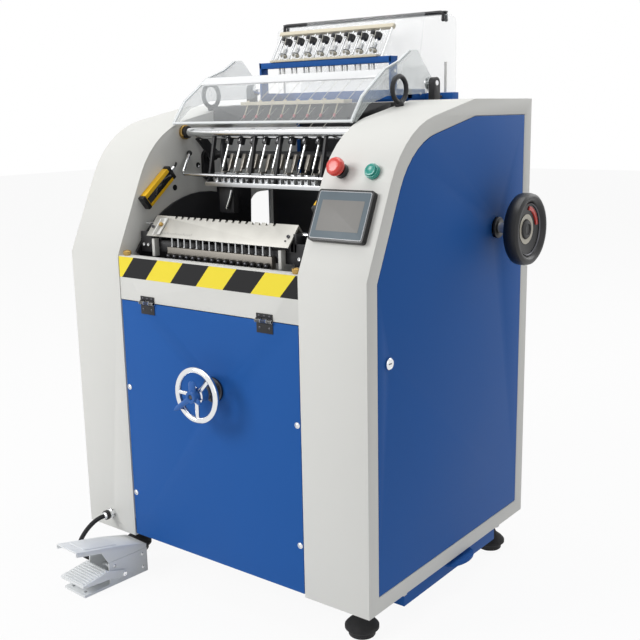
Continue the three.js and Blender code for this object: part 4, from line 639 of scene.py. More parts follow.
# hazard tape on the upper panel, and the pale edge above it
tape = {"x": (166, 692), "y": (1.7, 2.05), "z": (730, 777.4)}
lip = {"x": (166, 692), "y": (1.75, 29.6), "z": (777.8, 778.6)}
addPiece("hazardTape", "hazardStripes", block(**tape), bevel=0)
addPiece("throatLip", "whiteCoat", block(**lip), bevel=0.2)

# front handwheel: round rim, three spokes, hub and shaft, and its bearing on the door
wheel = {
    "x": 450, "z": 506, "rim": 55.5, "thick": 7, "rimY": -50, "spokes": (180, 270, 45),
    "spokeFrom": 13, "spokeTo": 51, "spokeRoot": 5.6, "spokeTip": 4.4, "shaftFrom": 60,
    "shaft": [(0, 0), (14.4, 0), (14.4, 22), (9, 22), (9, 84.6), (16, 84.6), (17, 86), (17, 108),
              (19.5, 110), (19.5, 113), (17, 115.1), (0, 115.1)],
    "bearing": [(9.3, -12), (14.5, -12), (14.5, 0.3), (27.4, 0.3), (28, 1), (28, 5.6), (27.4, 6.3),
                (17, 6.9), (17, 23.4), (16.4, 24), (9.3, 24)],
    "screwCircle": 22.5, "screw": (2.6, 2.2),
}


def onWheel(angle, reach, y):  # a place round the front wheel's axis
    t = math.radians(angle)
    return (wheel["x"] + reach * math.cos(t), y, wheel["z"] + reach * math.sin(t))


def addFrontWheel():
    x, y, z = wheel["x"], wheel["rimY"], wheel["z"]
    shapes = torus((x, y, z), toBack, wheel["rim"], wheel["thick"], 72, 18)
    for angle in wheel["spokes"]:
        root, tip = onWheel(angle, wheel["spokeFrom"], y), onWheel(angle, wheel["spokeTo"], y)
        shapes += rod(root, tip, wheel["spokeRoot"], 20, wheel["spokeTip"])
    shapes += turned(wheel["shaft"], (x, wheel["shaftFrom"], z), toFront, 48)
    addPiece("frontWheelBody", "chrome", shapes, ["front_handwheel"], body="front_wheel")
    bearing = turned(wheel["bearing"], (x, 2, z), toFront, 48)
    for angle in (30, 150, 270):
        bearing += socketScrew(onWheel(angle, wheel["screwCircle"], -4.3), toFront, *wheel["screw"])
    addPiece("wheelBearingBody", "darkSteel", bearing, ["wheel_bearing"], body="front_door")


addFrontWheel()

# clamp on the hub: cast body with a paddle, a long lever and a lobe
clamp = {
    "front": -55.4, "thick": 16, "armThick": 9, "screw": (5.2, 5), "screwIn": 7,
    "body": [(0, 0), (12.5, 0), (14, 1.5), (14, 13), (12.5, 16), (7, 16), (6, 15), (5, 12), (0, 12)],
    "arms": [(90, 34, 9, 10.5), (215, 69, 6.5, 5.5), (330, 26, 6.5, 5.5)],  # angle, reach, half root and tip
    "shares": (0.0, 0.25, 0.5, 0.7, 0.85, 0.95, 1.0), "roundFrom": 0.8, "thinner": 0.3,
}


def clampArm(angle, reach, root, tip):
    t = math.radians(angle)
    along, across = Vector((math.cos(t), 0, math.sin(t))), Vector((-math.sin(t), 0, math.cos(t)))
    hub = Vector((wheel["x"], clamp["front"] - clamp["thick"] / 2, wheel["z"]))
    rings = []
    for share in clamp["shares"]:
        half = root + (tip - root) * share
        if share > clamp["roundFrom"]:
            end = (share - clamp["roundFrom"]) / (1 - clamp["roundFrom"])
            half *= math.sqrt(max(0.04, 1 - end ** 2))
        deep = clamp["armThick"] / 2 * (1 - clamp["thinner"] * share)
        spot = hub + along * (reach * share)
        rings.append([spot + across * half * math.cos(a) + Vector((0, deep * math.sin(a), 0))
                      for a in fullTurn(16)])
    return loft(rings)


def addClamp():
    x, y, z = wheel["x"], clamp["front"], wheel["z"]
    body = turned(clamp["body"], (x, y, z), toFront)
    body += joined(clampArm(*shape) for shape in clamp["arms"])
    addPiece("clampBody", "clampBlue", body, ["clamp_lever"], body="clamp")
    screw = hexNut((x, y - clamp["thick"] + clamp["screwIn"], z), toFront, *clamp["screw"])
    addPiece("clampScrew", "darkSteel", screw, body="clamp")


addClamp()
print("front: door, wheel, clamp")

# operator panel: black case, bright line, slate frame and a plain grey face.
# Each layer is its distance in from the edge, corner radius and the two heights over the slant
screen = {"x": 770, "up": 124.5, "wide": 132, "high": 105, "case": (0, 6, 0.3, 11),
          "bezel": (0, 6, 11.1, 13.8), "line": (4, 4, 13.4, 14.1), "frame": (5.4, 3, 13.8, 14.4),
          "face": ((-50, 50), (-33, 30)), "faceHeights": (14.2, 14.7)}


def slantPlate(x, up, radius, out):
    outline = roundBox(x, up, radius)
    return loft([[onSlant(a, b, height) for a, b in outline] for height in out])


def screenLayer(inset, radius, low, high):
    x, up = screen["x"], screen["up"]
    half, tall = screen["wide"] / 2 - inset, screen["high"] / 2 - inset
    return slantPlate((x - half, x + half), (up - tall, up + tall), radius, (low, high))


def addScreen():
    addPiece("screenCase", "blackPlastic", screenLayer(*screen["case"]), ["touch_panel"], 0.8)
    addPiece("screenBezel", "blackPlastic", screenLayer(*screen["bezel"]), bevel=0.9)
    addPiece("screenLine", "silverPlastic", screenLayer(*screen["line"]), bevel=0.3)
    addPiece("screenFrame", "slatePlastic", screenLayer(*screen["frame"]), bevel=0.2)
    x, up = [[screen[k] + end for end in ends] for k, ends in zip(("x", "up"), screen["face"])]
    addPiece("screenFace", "screenGrey", slantPlate(x, up, 1, screen["faceHeights"]), bevel=0.1)


addScreen()

# emergency button and start button, with their collars and the shared contact block
buttons = {
    "stop": (738, 219), "start": (812, 219),
    "stopCap": [(0, -15), (6, -15), (6, 16.6), (13, 16.6), (15, 17.4), (17.5, 19), (18.9, 22), (18.9, 26),
                (18.2, 30), (16.2, 33.2), (12.5, 34.6), (9, 34.9), (4, 35), (0, 35)],
    "stopCollar": [(6.3, -30), (11, -30), (11, 0.3), (15, 0.3), (15, 2.5), (14.2, 3.2), (14.2, 9.2),
                   (13.4, 10), (6.3, 10)],
    "startRing": [(12.6, 2), (15, 0.3), (15.2, 0.3), (15.2, 8), (14.4, 10), (12.6, 10)],
    "contact": [(6.3, -30), (11, -30), (11, 0.3), (12.4, 0.3), (12.4, 2), (6.3, 2)],
    "startCap": [(0, -15), (6, -15), (6, 6.6), (11.8, 6.6), (12, 7), (12, 12.6), (11.2, 13.7), (9, 14),
                 (8, 13.4), (0, 13.2)],
    "block": ((727, 823), (208, 230), (-33, -30.1)),
}


def onPanel(shape, place, make=turned, sides=48):
    outward = Vector(onSlant(0, 0, 1)) - Vector(onSlant(0, 0, 0))
    return make(buttons[shape], onSlant(*buttons[place], 0), outward, sides)


def addButtons():
    addPiece("stopCap", "redPlastic", onPanel("stopCap", "stop"), ["emergency_button"], body="stop_button")
    collar = onPanel("stopCollar", "stop", hoop)
    addPiece("stopCollar", "blackPlastic", collar, ["button_collars"])
    addPiece("startRing", "greenPlastic", onPanel("startRing", "start", hoop))
    contact = onPanel("contact", "start", hoop, 40) + placed(block(*buttons["block"]), onSlant)
    addPiece("contactBlock", "blackPlastic", contact)
    addPiece("startCap", "greenPlastic", onPanel("startCap", "start"), ["start_button"], body="go_button")


addButtons()
print("panel and buttons")

# right handwheel: dished black rim and web, pale ring, thin line, red window, and the shaft behind
sideWheel = {
    "y": 515, "z": 829,
    "dish": [(12.4, 50), (20, 50), (24, 57), (60, 64), (66, 56), (74, 54), (78.5, 58), (80, 65), (80, 76),
             (78, 84), (73, 87.8), (68, 88), (63, 85), (60, 80), (57, 75), (24, 69), (12.4, 69)],
    "web": [(23, 69.2), (56, 74.6), (56, 76.4), (23, 71)],
    "cone": [(0, 69), (23, 69), (23, 72), (20, 76), (12, 78), (11, 76), (0, 75.4)],
    "ring": [(22.6, 71.4), (33, 72.8), (33, 73.8), (22.6, 72.4)],
    "line": [(55.6, 77), (57.4, 79), (57.8, 80), (55.6, 78)],
    "boss": [(12.2, 2), (22.8, 2), (23.6, 3), (23.6, 7), (22.8, 8), (14, 8), (12.2, 9)],
    "shaft": 12, "shaftOut": 49.6, "shaftIn": 190, "shaftLong": 200, "pulleyX": 745,
    "pulley": [(11.4, 0), (75, 0), (75, 3.4), (70, 3.4), (70, 26.6), (75, 26.6), (75, 30), (11.4, 30)],
    "window": (42, 51), "windowAngles": (8, 84), "windowX": (73, 77.4),
}


def addSideWheel():
    y, z = sideWheel["y"], sideWheel["z"]
    hub = (fullWidth, y, z)
    rim = hoop(sideWheel["dish"], hub, toRight, 80)
    addPiece("sideWheelRim", "blackPlastic", rim, ["side_handwheel"], body="main_drive")
    web = hoop(sideWheel["web"], hub, toRight, 64) + turned(sideWheel["cone"], hub, toRight, 48)
    addPiece("sideWheelWeb", "blackPlastic", web, body="main_drive")
    addPiece("sideWheelRing", "beigePlastic", hoop(sideWheel["ring"], hub, toRight, 64), body="main_drive")
    addPiece("sideWheelLine", "darkSteel", hoop(sideWheel["line"], hub, toRight, 64), body="main_drive")
    addPiece("mainShaftBoss", "blackPlastic", hoop(sideWheel["boss"], hub, toRight, 48), body="main_drive")
    shaft = disc(sideWheel["shaft"], sideWheel["shaftOut"], hub, toRight, 48)
    inside = (fullWidth - sideWheel["shaftIn"], y, z)
    shaft += disc(sideWheel["shaft"], sideWheel["shaftLong"], inside, toRight)
    shaft += hoop(sideWheel["pulley"], (sideWheel["pulleyX"], y, z), toRight, 64)
    addPiece("mainShaftBody", "steel", shaft, ["main_shaft"], body="main_drive")
    (small, large), (start, end) = sideWheel["window"], sideWheel["windowAngles"]
    outline = arc((y, z), large, start, end, 14) + arc((y, z), small, end, start, 14)
    window = prism(outline, "x", *(fullWidth + out for out in sideWheel["windowX"]))
    addPiece("wheelWindow", "redPlastic", window, bevel=0.4, body="main_drive")


addSideWheel()

# turning lock on the right side panel: barrel, key slot drawn as a dark block of painted shade, and bolt
lock = {"y": 73, "z": 608, "slotHalf": (5, 1.2), "slotOut": (3.9, 4.5),
        "barrel": [(0, -22), (9, -22), (9, 0.3), (11, 0.3), (12, 1.2), (12, 3.6), (10.5, 5), (8, 5),
                   (7.4, 4.2), (0, 4.2)],
        "bolt": ((fullWidth - 21.4, fullWidth - 6.4), (40, 73), (601, 615))}


def addLock():
    y, z = lock["y"], lock["z"]
    barrel = turned(lock["barrel"], (fullWidth, y, z), toRight)
    addPiece("lockBody", "chrome", barrel, ["side_lock"], body="lock")
    wide, tall = lock["slotHalf"]
    # the key slot is a thin dark block: painted shade in the opening
    slot = block(beside(fullWidth, lock["slotOut"]), (y - wide, y + wide), (z - tall, z + tall))
    addPiece("lockSlotShade", "darkSteel", slot, bevel=0, body="lock")
    addPiece("lockBolt", "steel", block(*lock["bolt"]), bevel=0.6, body="lock")


addLock()
print("right side")

# cable gland on the left arm: threaded body with a tapered nose, hex ring and knurled cap
gland = {"x": 85, "z": 130, "hex": (12.6, 5), "hexAt": -3, "cap": (-14, -25), "capRadius": 11.6,
         "body": [(0, -24), (7.5, -24), (7.5, 0.3), (11.4, 0.3), (12, 1), (12, 9), (10.5, 10), (10.5, 13),
                  (11, 14), (10.2, 20), (9, 26), (6.9, 30), (0, 30)]}


def addGland():
    x, z = gland["x"], gland["z"]
    addPiece("glandNut", "chrome", turned(gland["body"], (x, 0, z), toFront, 36), ["cable_gland"])
    start, end = gland["cap"]
    ring = hexNut((x, gland["hexAt"], z), toFront, *gland["hex"])
    ring += knurled((x, start, z), (x, end, z), gland["capRadius"], 18, 0.7)
    addPiece("glandRing", "blackPlastic", ring)


addGland()

# saddle: folded plate, screws, scale and gauge
saddle = {
    "apex": (77, 867), "front": (40, 824), "rods": 16, "pitch": 19.3,
    "screws": ((228, 843, 3.6), (243, 843, 3.6), (626, 844, 3.8), (623, 836, 2)),  # x, z and radius
    "marks": 21, "markFrom": 258, "markStep": 5, "markLow": 830, "markHalf": 0.3, "markProud": 0.12,
    "gauge": (256, 846), "gaugeEnds": (3.4, 9.4), "gaugeRadius": 4.4,
}
slope = Vector((0, -0.758, 0.652))  # straight out of the front slope


def onSaddle(x, z, out=0.0):
    share = (z - saddle["front"][1]) / (saddle["apex"][1] - saddle["front"][1])
    y = saddle["front"][0] + share * (saddle["apex"][0] - saddle["front"][0])
    return Vector((x, y, z)) + slope * out


def scaleMark(x, tall):
    half, proud = Vector((saddle["markHalf"], 0, 0)), slope * saddle["markProud"]
    spots = [onSaddle(x, saddle["markLow"] + up, 0.02) for up in (0, tall)]
    return loft([[p - half, p + half, p + half + proud, p - half + proud] for p in spots])


def addSaddle():
    dress("saddle_plate", "saddleSteel", 0.5)
    dress("side_gauge", "whiteCoat", 0.4)
    screws = joined(socketScrew(onSaddle(x, z), slope, size, size * 0.9) for x, z, size in saddle["screws"])
    addPiece("saddleScrews", "darkSteel", screws, body="saddle")
    marks = []
    for k in range(saddle["marks"]):  # each fifth mark is a long one
        marks += scaleMark(saddle["markFrom"] + saddle["markStep"] * k, 3 if k % 5 else 5)
    addPiece("saddleScale", "blackPlastic", marks, bevel=0, body="saddle")
    low, high = [onSaddle(*saddle["gauge"], out) for out in saddle["gaugeEnds"]]
    addPiece("gaugeScrew", "brass", knurled(low, high, saddle["gaugeRadius"], 16, 0.5), body="saddle")


addSaddle()

# piercing rods on their rail, each with a knob in front
piercer = {"rail": ((274.6, 583.4), (52, 65.7), (773, 800)), "y": 58.85, "radius": 2, "tip": 0.5,
           "z": (799, 820, 827), "nut": (3.6, 3), "nutAt": 800, "knobZ": 781, "knobY": (52.2, 43.2),
           "knob": 6, "screw": (3.4, 1.6), "screwY": 43.3}


def evenly(count, pitch):  # places along x, even about the middle of the throat
    return [middleX + (i - (count - 1) / 2) * pitch for i in range(count)]


def addPiercers():
    addPiece("piercerRail", "darkAluminium", block(*piercer["rail"]), ["piercing_rods"], 0.8, body="piercers")
    rods, knobs, hearts = [], [], []
    y, knobZ, radius = piercer["y"], piercer["knobZ"], piercer["radius"]
    for x in evenly(saddle["rods"], saddle["pitch"]):
        foot, neck, tip = [(x, y, z) for z in piercer["z"]]
        rods += rod(foot, neck, radius, 16) + rod(neck, tip, radius, 16, piercer["tip"])
        rods += hexNut((x, y, piercer["nutAt"]), upward, *piercer["nut"])
        start, end = [(x, far, knobZ) for far in piercer["knobY"]]
        knobs += knurled(start, end, piercer["knob"], 20, 0.4)
        hearts += domeScrew((x, piercer["screwY"], knobZ), toFront, *piercer["screw"])
    addPiece("piercerRods", "steel", rods, body="piercers")
    addPiece("piercerKnobs", "blackPlastic", knobs, body="piercers")
    addPiece("piercerScrews", "darkSteel", hearts, body="piercers")


addPiercers()

# ends of the saddle: brackets, bolts and posts. Reaches count from the wall inward
saddleEnd = {
    "brackets": [((15, 55), (60, 66), (783, 830)), ((49, 57), (60, 100), (812.3, 850))],
    "screws": (27, 41), "screwPlace": (59.8, 800), "screw": (4, 3.4),
    "posts": ((61, 69), (83, 91)), "postY": (51, 65.8), "postZ": (776, 816),
    "pin": (14, 57), "pinPlace": (82, 846), "pinRadius": 4,
}


def addSwingFrame():
    dress("swing_frame", "blackCoat", 0.7)
    bolts, posts, brackets = [], [], []
    for (wall, inward), postX in zip(walls, saddleEnd["posts"]):
        for x, y, z in saddleEnd["brackets"]:
            brackets += block(sorted(wall + inward * far for far in x), y, z)
        for far in saddleEnd["screws"]:
            place = (wall + inward * far, *saddleEnd["screwPlace"])
            bolts += socketScrew(place, toFront, *saddleEnd["screw"])
        posts += block(sorted(wall + inward * far for far in postX), saddleEnd["postY"], saddleEnd["postZ"])
        start, end = [(wall + inward * far, *saddleEnd["pinPlace"]) for far in saddleEnd["pin"]]
        bolts += rod(start, end, saddleEnd["pinRadius"], 24)
    addPiece("saddleEndBrackets", "blackCoat", brackets, bevel=0.6, body="saddle")
    addPiece("saddleBolts", "chrome", bolts, body="saddle")
    addPiece("saddlePosts", "whiteCoat", posts, bevel=0.8, body="saddle")


addSwingFrame()

# brass thumbscrews behind the hazard tape
thumb = {"x": (180, 678), "y": 16, "z": 778.6, "washer": (7, 2.4), "knobFrom": 2, "knobTo": 11, "knob": 9,
         "cap": (5, 1.4)}


def addThumbscrews():
    shapes = []
    for x in thumb["x"]:
        foot, low, top = [(x, thumb["y"], thumb["z"] + up) for up in (0, thumb["knobFrom"], thumb["knobTo"])]
        shapes += disc(*thumb["washer"], foot, upward)
        shapes += knurled(low, top, thumb["knob"], 24)
        shapes += domeScrew(top, upward, *thumb["cap"])
    addPiece("thumbscrews", "brass", shapes)


addThumbscrews()
print("saddle")

# head tube with brass flanges and black collars, and the hangers of the needle guide
head = {
    "y": 230, "z": 1050, "radius": 10.5, "x": (152.6, 705.4), "flangeGap": 0.3,
    "flange": [(10.6, 0), (17, 0), (17, 6), (16, 7), (10.6, 7)],
    "collar": [(10.6, 7), (14, 7), (14, 15), (13, 16), (10.6, 16)],
    "screwCircle": 13.6, "screwOut": 7, "screw": (2, 2), "hangers": (-165, -38.3, 38.3, 165), "hangerHalf": 3,
    "hangerTop": ((228, 1039.6), (238, 1043)), "hangerLow": ((205, 942), (215, 942)),
    "hangerFoot": ((201, 219), (936, 942)), "slot": ((222.8, 225), (1057.2, 1058.6)),
}
needle = {
    "lean": math.radians(23), "tip": (220, 961), "pitch": 38.3, "count": 8, "sides": 16,
    "shape": [(0, 0), (0.8, 0), (1.2, 8), (2.5, 9), (2.5, 78.6), (0, 78.6)],
    "rodX": (186, 672), "rodAt": 84.6, "rodRadius": 6, "block": ((66, 91.2), (-7, 7)), "blockHalf": 6,
    "screwsAt": (73, 84.6), "screw": (3, 2.6), "cap": [(0, 0), (3.6, 0), (3.6, 3), (2.4, 4.4), (0, 4.4)],
}
needleWay, needleAside, alongNeedle = leaning(needle["tip"], needle["lean"])
needleX = evenly(needle["count"], needle["pitch"])


def addHead():
    y, z, half = head["y"], head["z"], head["hangerHalf"]
    start, end = [(x, y, z) for x in head["x"]]
    addPiece("headTubeBody", "chrome", rod(start, end, head["radius"], 40), ["head_tube"])
    flanges, collars, hangers, slots = [], [], [], []
    for wall, inward in walls:
        face, out = wall + inward * head["flangeGap"], (inward, 0, 0)
        flanges += hoop(head["flange"], (face, y, z), out)
        collars += hoop(head["collar"], (face, y, z), out)
        for sy, sz in arc((y, z), head["screwCircle"], 90, 330, 2):
            flanges += socketScrew((face + inward * head["screwOut"], sy, sz), out, *head["screw"])
    addPiece("tubeFlanges", "brass", flanges)
    for x in [middleX + offset for offset in head["hangers"]]:
        hangers += loft([[(x - half, *front), (x + half, *front), (x + half, *rear), (x - half, *rear)]
                         for front, rear in (head["hangerTop"], head["hangerLow"])])
        hangers += block((x - half, x + half), *head["hangerFoot"])
        # the slots on the tube are thin black blocks: painted shade in the openings
        slots += block((x - 4, x + 8), *head["slot"])
    addPiece("hangerBlades", "blackCoat", hangers, bevel=0.4)
    addPiece("tubeSlotShade", "blackPlastic", slots, bevel=0.3)
    addPiece("tubeCollars", "blackCoat", collars)


addHead()

# needle guide: bar with a hole for each needle, forked plates, screws and the brackets behind them
guide = {
    "x": (258, 600), "z": (926, 936), "front": (199, 202), "middle": (202, 212.6), "rear": (212.6, 221),
    "holeHalf": 3.2, "fork": ((-15, -5), (5, 15)), "forkY": (210, 220), "forkZ": (935.6, 957),
    "bridge": ((210, 212.6), (951, 957)), "screws": (-10, 10), "screwPlace": (210, 946), "screw": (2.8, 2.4),
    "bracketX": (9, 12), "bracketFoot": ((212, 234), (957, 961)), "bracketPost": ((0, 46), (9, 13)),
    "bracketBlock": ((12, 46), (9, 20)), "bracketBlockX": (5, 13),
}


def addGuide():
    bar = block(guide["x"], guide["front"], guide["z"]) + block(guide["x"], guide["rear"], guide["z"])
    holes = [edge for x in needleX for edge in beside(x, (-guide["holeHalf"], guide["holeHalf"]))]
    edges = [guide["x"][0], *holes, guide["x"][1]]
    for solid in zip(edges[::2], edges[1::2]):
        bar += block(solid, guide["middle"], guide["z"])
    addPiece("guideBar", "steel", bar, ["needle_plate_bar"], 0.8)
    plates, screws, brackets = [], [], []
    for x in needleX:
        for prong in guide["fork"]:
            plates += block(beside(x, prong), guide["forkY"], guide["forkZ"])
        plates += block(beside(x, (guide["fork"][0][0], guide["fork"][1][1])), *guide["bridge"])
        for offset in guide["screws"]:
            screws += socketScrew((x + offset, *guide["screwPlace"]), toFront, *guide["screw"])
        brackets += block(beside(x, guide["bracketX"]), *guide["bracketFoot"])
        brackets += leanBlock(alongNeedle, beside(x, guide["bracketX"]), *guide["bracketPost"])
        brackets += leanBlock(alongNeedle, beside(x, guide["bracketBlockX"]), *guide["bracketBlock"])
    addPiece("guidePlates", "steel", plates, bevel=0.3)
    addPiece("guideScrews", "darkSteel", screws)
    addPiece("guideBrackets", "darkAluminium", brackets, bevel=0.3)


def addCarriage():
    start, end = [alongNeedle(x, needle["rodAt"]) for x in needle["rodX"]]
    bars, blocks, caps = rod(start, end, needle["rodRadius"], 28), [], []
    along, aside = needle["block"]
    for x in needleX:
        bars += turned(needle["shape"], alongNeedle(x, 0), needleWay, needle["sides"])
        blocks += leanBlock(alongNeedle, beside(x, (-needle["blockHalf"], needle["blockHalf"])), along, aside)
        for far in needle["screwsAt"]:
            caps += socketScrew(alongNeedle(x, far, aside[0]), -needleAside, *needle["screw"])
        caps += turned(needle["cap"], alongNeedle(x, along[1]), needleWay, 18)
    addPiece("carriageRod", "chrome", bars, ["needle_carriage"], body="carriage")
    addPiece("needleBlocks", "blackCoat", blocks, bevel=0.6, body="carriage")
    addPiece("needleBlockScrews", "chrome", caps, body="carriage")


addGuide()
addCarriage()
dress("needle_rocker", "blackCoat")

# take-up bar: cream strip, wires with pink ends
takeUp = {"strip": ((275.8, 582.2), (314, 346), (1110, 1118)), "wire": ((303, 1081), (318, 1110.5)),
          "wireRadius": 1.6, "nutPlace": (320, 1118), "nut": (4, 3), "endPlace": (302.4, 1080),
          "endWay": (0, 0.4, 0.9), "end": [(0, 0), (2.2, 0), (3, 1.2), (3, 7), (2, 8), (0, 8)]}


def addTakeUp():
    addPiece("takeUpStrip", "creamCoat", block(*takeUp["strip"]), ["take_up_bar"], 0.6)
    wires, ends = [], []
    for x in needleX:
        low, high = [(x, *place) for place in takeUp["wire"]]
        wires += rod(low, high, takeUp["wireRadius"], 14)
        wires += hexNut((x, *takeUp["nutPlace"]), upward, *takeUp["nut"])
        ends += turned(takeUp["end"], (x, *takeUp["endPlace"]), takeUp["endWay"], 16)
    addPiece("takeUpWires", "creamCoat", wires)
    addPiece("takeUpEnds", "pinkPlastic", ends)
    dress("head_beam", "darkGrey", 1.0)


addTakeUp()

# threads from the tensioners through the take-up wires to the guide; x counts from each needle
thread = {"radius": 0.55, "line": [(0, 470, 1275), (1, 460, 1252), (0, 448, 1180), (0, 306, 1083.5),
                                   (0, 300, 1082), (1, 262, 1060), (2, 246, 1020), (2, 214.6, 957.5)]}


def addThreads():
    shapes = []
    for needlePlace in needleX:
        line = [(needlePlace + x, y, z) for x, y, z in thread["line"]]
        shapes += bentTube(rounded(line, 3, 3), thread["radius"], 6)
    addPiece("threads", "sewingThread", shapes)


addThreads()
print("head")

# guard rail: bent rod with a knob at each end
rail = {"radius": 4, "bend": 14, "knob": 6.9,
        "line": [(172.3, 237, 1000), (192, 190, 952), (666, 190, 952), (685.7, 237, 1000)]}
railRod = bentTube(rounded(rail["line"], rail["bend"], 8), rail["radius"], 18)
railKnobs = ball(rail["line"][0], rail["knob"], 28) + ball(rail["line"][-1], rail["knob"], 28)
addPiece("guardRailRod", "chrome", railRod, ["guard_rail"], body="rail")
addPiece("guardRailKnobs", "blackPlastic", railKnobs, body="rail")

# light curtains: yellow bar, black caps, dark window, plug and lead. Lengths run along the bar
curtain = {
    "middle": (125, 925), "angle": 38, "depth": (0.3, 18.3), "body": 47, "caps": (47.2, 57), "half": 17,
    "window": (46, 8), "windowDepth": (17.3, 18.65), "plugDepth": 9, "leadDepth": 1,
    "plug": [(0, 0), (5.5, 0), (5.5, 6), (4.6, 7), (4.6, 14), (0, 14)],
    "lead": ((70, 70), (83, 83), (91, 87)), "leadBend": 6, "leadRadius": 2.4,
}
curtainWay = [math.cos(math.radians(curtain["angle"])), math.sin(math.radians(curtain["angle"]))]


def plank(x, along, half):
    (c, s), (y, z) = curtainWay, curtain["middle"]
    corners = [(along[0], -half), (along[1], -half), (along[1], half), (along[0], half)]
    return prism([(y + a * c - b * s, z + a * s + b * c) for a, b in corners], "x", *x)


def addCurtain(side, wall, inward):
    (c, s), (y, z), half = curtainWay, curtain["middle"], curtain["half"]
    span = sorted(wall + inward * far for far in curtain["depth"])
    body = plank(span, (-curtain["body"], curtain["body"]), half)
    addPiece(f"curtainBody{side}", "yellowCoat", body, [f"{side.lower()}_light_curtain"], 2.4)
    near, far = curtain["caps"]
    caps = plank(span, (-far, -near), half) + plank(span, (near, far), half)
    addPiece(f"curtainCaps{side}", "blackPlastic", caps, bevel=2.0)
    long, wide = curtain["window"]
    window = plank(sorted(wall + inward * deep for deep in curtain["windowDepth"]), (-long, long), wide)
    addPiece(f"curtainWindow{side}", "screenGlass", window, bevel=0.2)
    plugX = wall + inward * curtain["plugDepth"]
    plug = turned(curtain["plug"], (plugX, y + far * c, z + far * s), (0, c, s), 24)
    addPiece(f"curtainPlug{side}", "chrome", plug)
    line = [(x, y + a * c, z + b * s) for x, (a, b)
            in zip((plugX, plugX, wall + inward * curtain["leadDepth"]), curtain["lead"])]
    lead = bentTube(rounded(line, curtain["leadBend"]), curtain["leadRadius"], 12)
    addPiece(f"curtainLead{side}", "blackRubber", lead)


for side, (wall, inward) in zip(("Left", "Right"), walls):
    addCurtain(side, wall, inward)

# small parts on and beside the left cheek: link, cover, holes drawn as black discs of painted shade, screws
# and the bent lever
cheek = {
    "link": arc((302, 988), 19, 0, 180) + arc((302, 950), 19, 180, 360), "linkX": (165.4, 175),
    "linkBoss": [(0, 0), (13, 0), (13, 3), (12, 4), (0, 4)],
    "cover": [(335, 800), (458, 800), (462, 897), (455, 912), (400, 926), (345, 926), (335, 915)],
    "coverX": (165.4, 168.6),
    "coverBoss": [(0, 0), (30, 0), (30, 1.2), (28, 2), (12, 2), (11, 2.6), (0, 2.6)],
    "holes": ((165.2, 272, 969), (165.2, 190, 920)), "hole": (7, 0.6),
    "screws": (((165.6, 275, 966), 3.4), ((179, 302, 986), 5)),
    "lever": [(321, 222, 917), (316, 221, 900), (305, 220, 873)], "leverRadius": 3.2,
    "arm": [(262, 268, 1036), (266, 258, 1015), (274, 249, 990), (286, 240, 962)], "armRadius": 7.5,
    "leverBlock": ((276, 322), (226, 246), (862, 925.6)),
}


def addCheekParts():
    link = prism(cheek["link"], "x", *cheek["linkX"])
    link += turned(cheek["linkBoss"], (175, 302, 986), toRight, 32)
    addPiece("cheekLink", "blackCoat", link, bevel=0.8)
    plate = prism(cheek["cover"], "x", *cheek["coverX"])
    plate += turned(cheek["coverBoss"], (168.6, 398, 868), toRight, 48)
    addPiece("cheekCover", "blackCoat", plate, bevel=0.6)
    # the holes are thin black discs: painted shade in the openings
    holes = joined(disc(*cheek["hole"], place, toRight) for place in cheek["holes"])
    addPiece("cheekHoleShade", "blackPlastic", holes, bevel=0)
    bright = joined(domeScrew(place, toRight, radius, 2) for place, radius in cheek["screws"])
    bright += bentTube(cheek["lever"], cheek["leverRadius"], 14)
    addPiece("cheekScrews", "chrome", bright)
    lever = bentTube(smoothLine(cheek["arm"], 5), cheek["armRadius"], 14)
    addPiece("leverArm", "blackCoat", lever)
    addPiece("leverBlock", "blackCoat", block(*cheek["leverBlock"]), bevel=3)


addCheekParts()
print("guards")

# clear cover: curved visor, two cheeks, pale edges, a pale band of painted highlight and the pivot pins.
# The shares are y and z from the pivot, as parts of the reach
cover = {
    "pivot": (495, 1151), "reach": 304, "left": 165.6, "right": 692.4, "thick": 3, "visorInset": 3.1,
    "sheet": (1.9, -2.2),
    "visor": [(-1, -0.263), (-0.945, -0.17), (-0.868, -0.092), (-0.74, -0.006), (-0.599, 0.089)],
    "cheek": [(-1, -0.263), (-0.868, -0.092), (-0.599, 0.089), (-0.405, 0.155), (-0.27, 0.23),
              (-0.171, 0.237), (-0.043, 0.115), (0.053, 0.023), (0.053, -0.036), (-0.05, -0.075),
              (-0.575, -0.095), (-0.8, -0.15), (-0.954, -0.27)],
    "rimPoints": 5, "rimWide": 7, "rimDeep": (2.4, -3), "band": (0.4, 0.98), "bandProud": (-0.3, 0.4),
    "bandDeep": (2.3, -2.6), "bandInset": 7.2, "pin": (-20, 3.6), "pinRadius": 6, "washerOut": 3.7,
    "washer": [(0, 0), (14, 0), (14, 1.4), (13, 2), (0, 2)], "screwOut": 5.6, "screw": (5, 3),
}


def fromPivot(share):
    return tuple(middle + part * cover["reach"] for middle, part in zip(cover["pivot"], share))


def shifted(line, step):
    return [(y + step[0], z + step[1]) for y, z in line]


def addVisor():
    line = smoothLine([(y, 0, z) for y, z in map(fromPivot, cover["visor"])], 5)
    outer = [(p.x, p.z) for p in line]
    visor = outer + shifted(outer, cover["sheet"])[::-1]
    visor = prism(visor, "x", cover["left"] + cover["visorInset"], cover["right"] - cover["visorInset"])
    addPiece("coverVisor", "clearSheet", visor, ["clear_cover"], body="cover")
    return outer


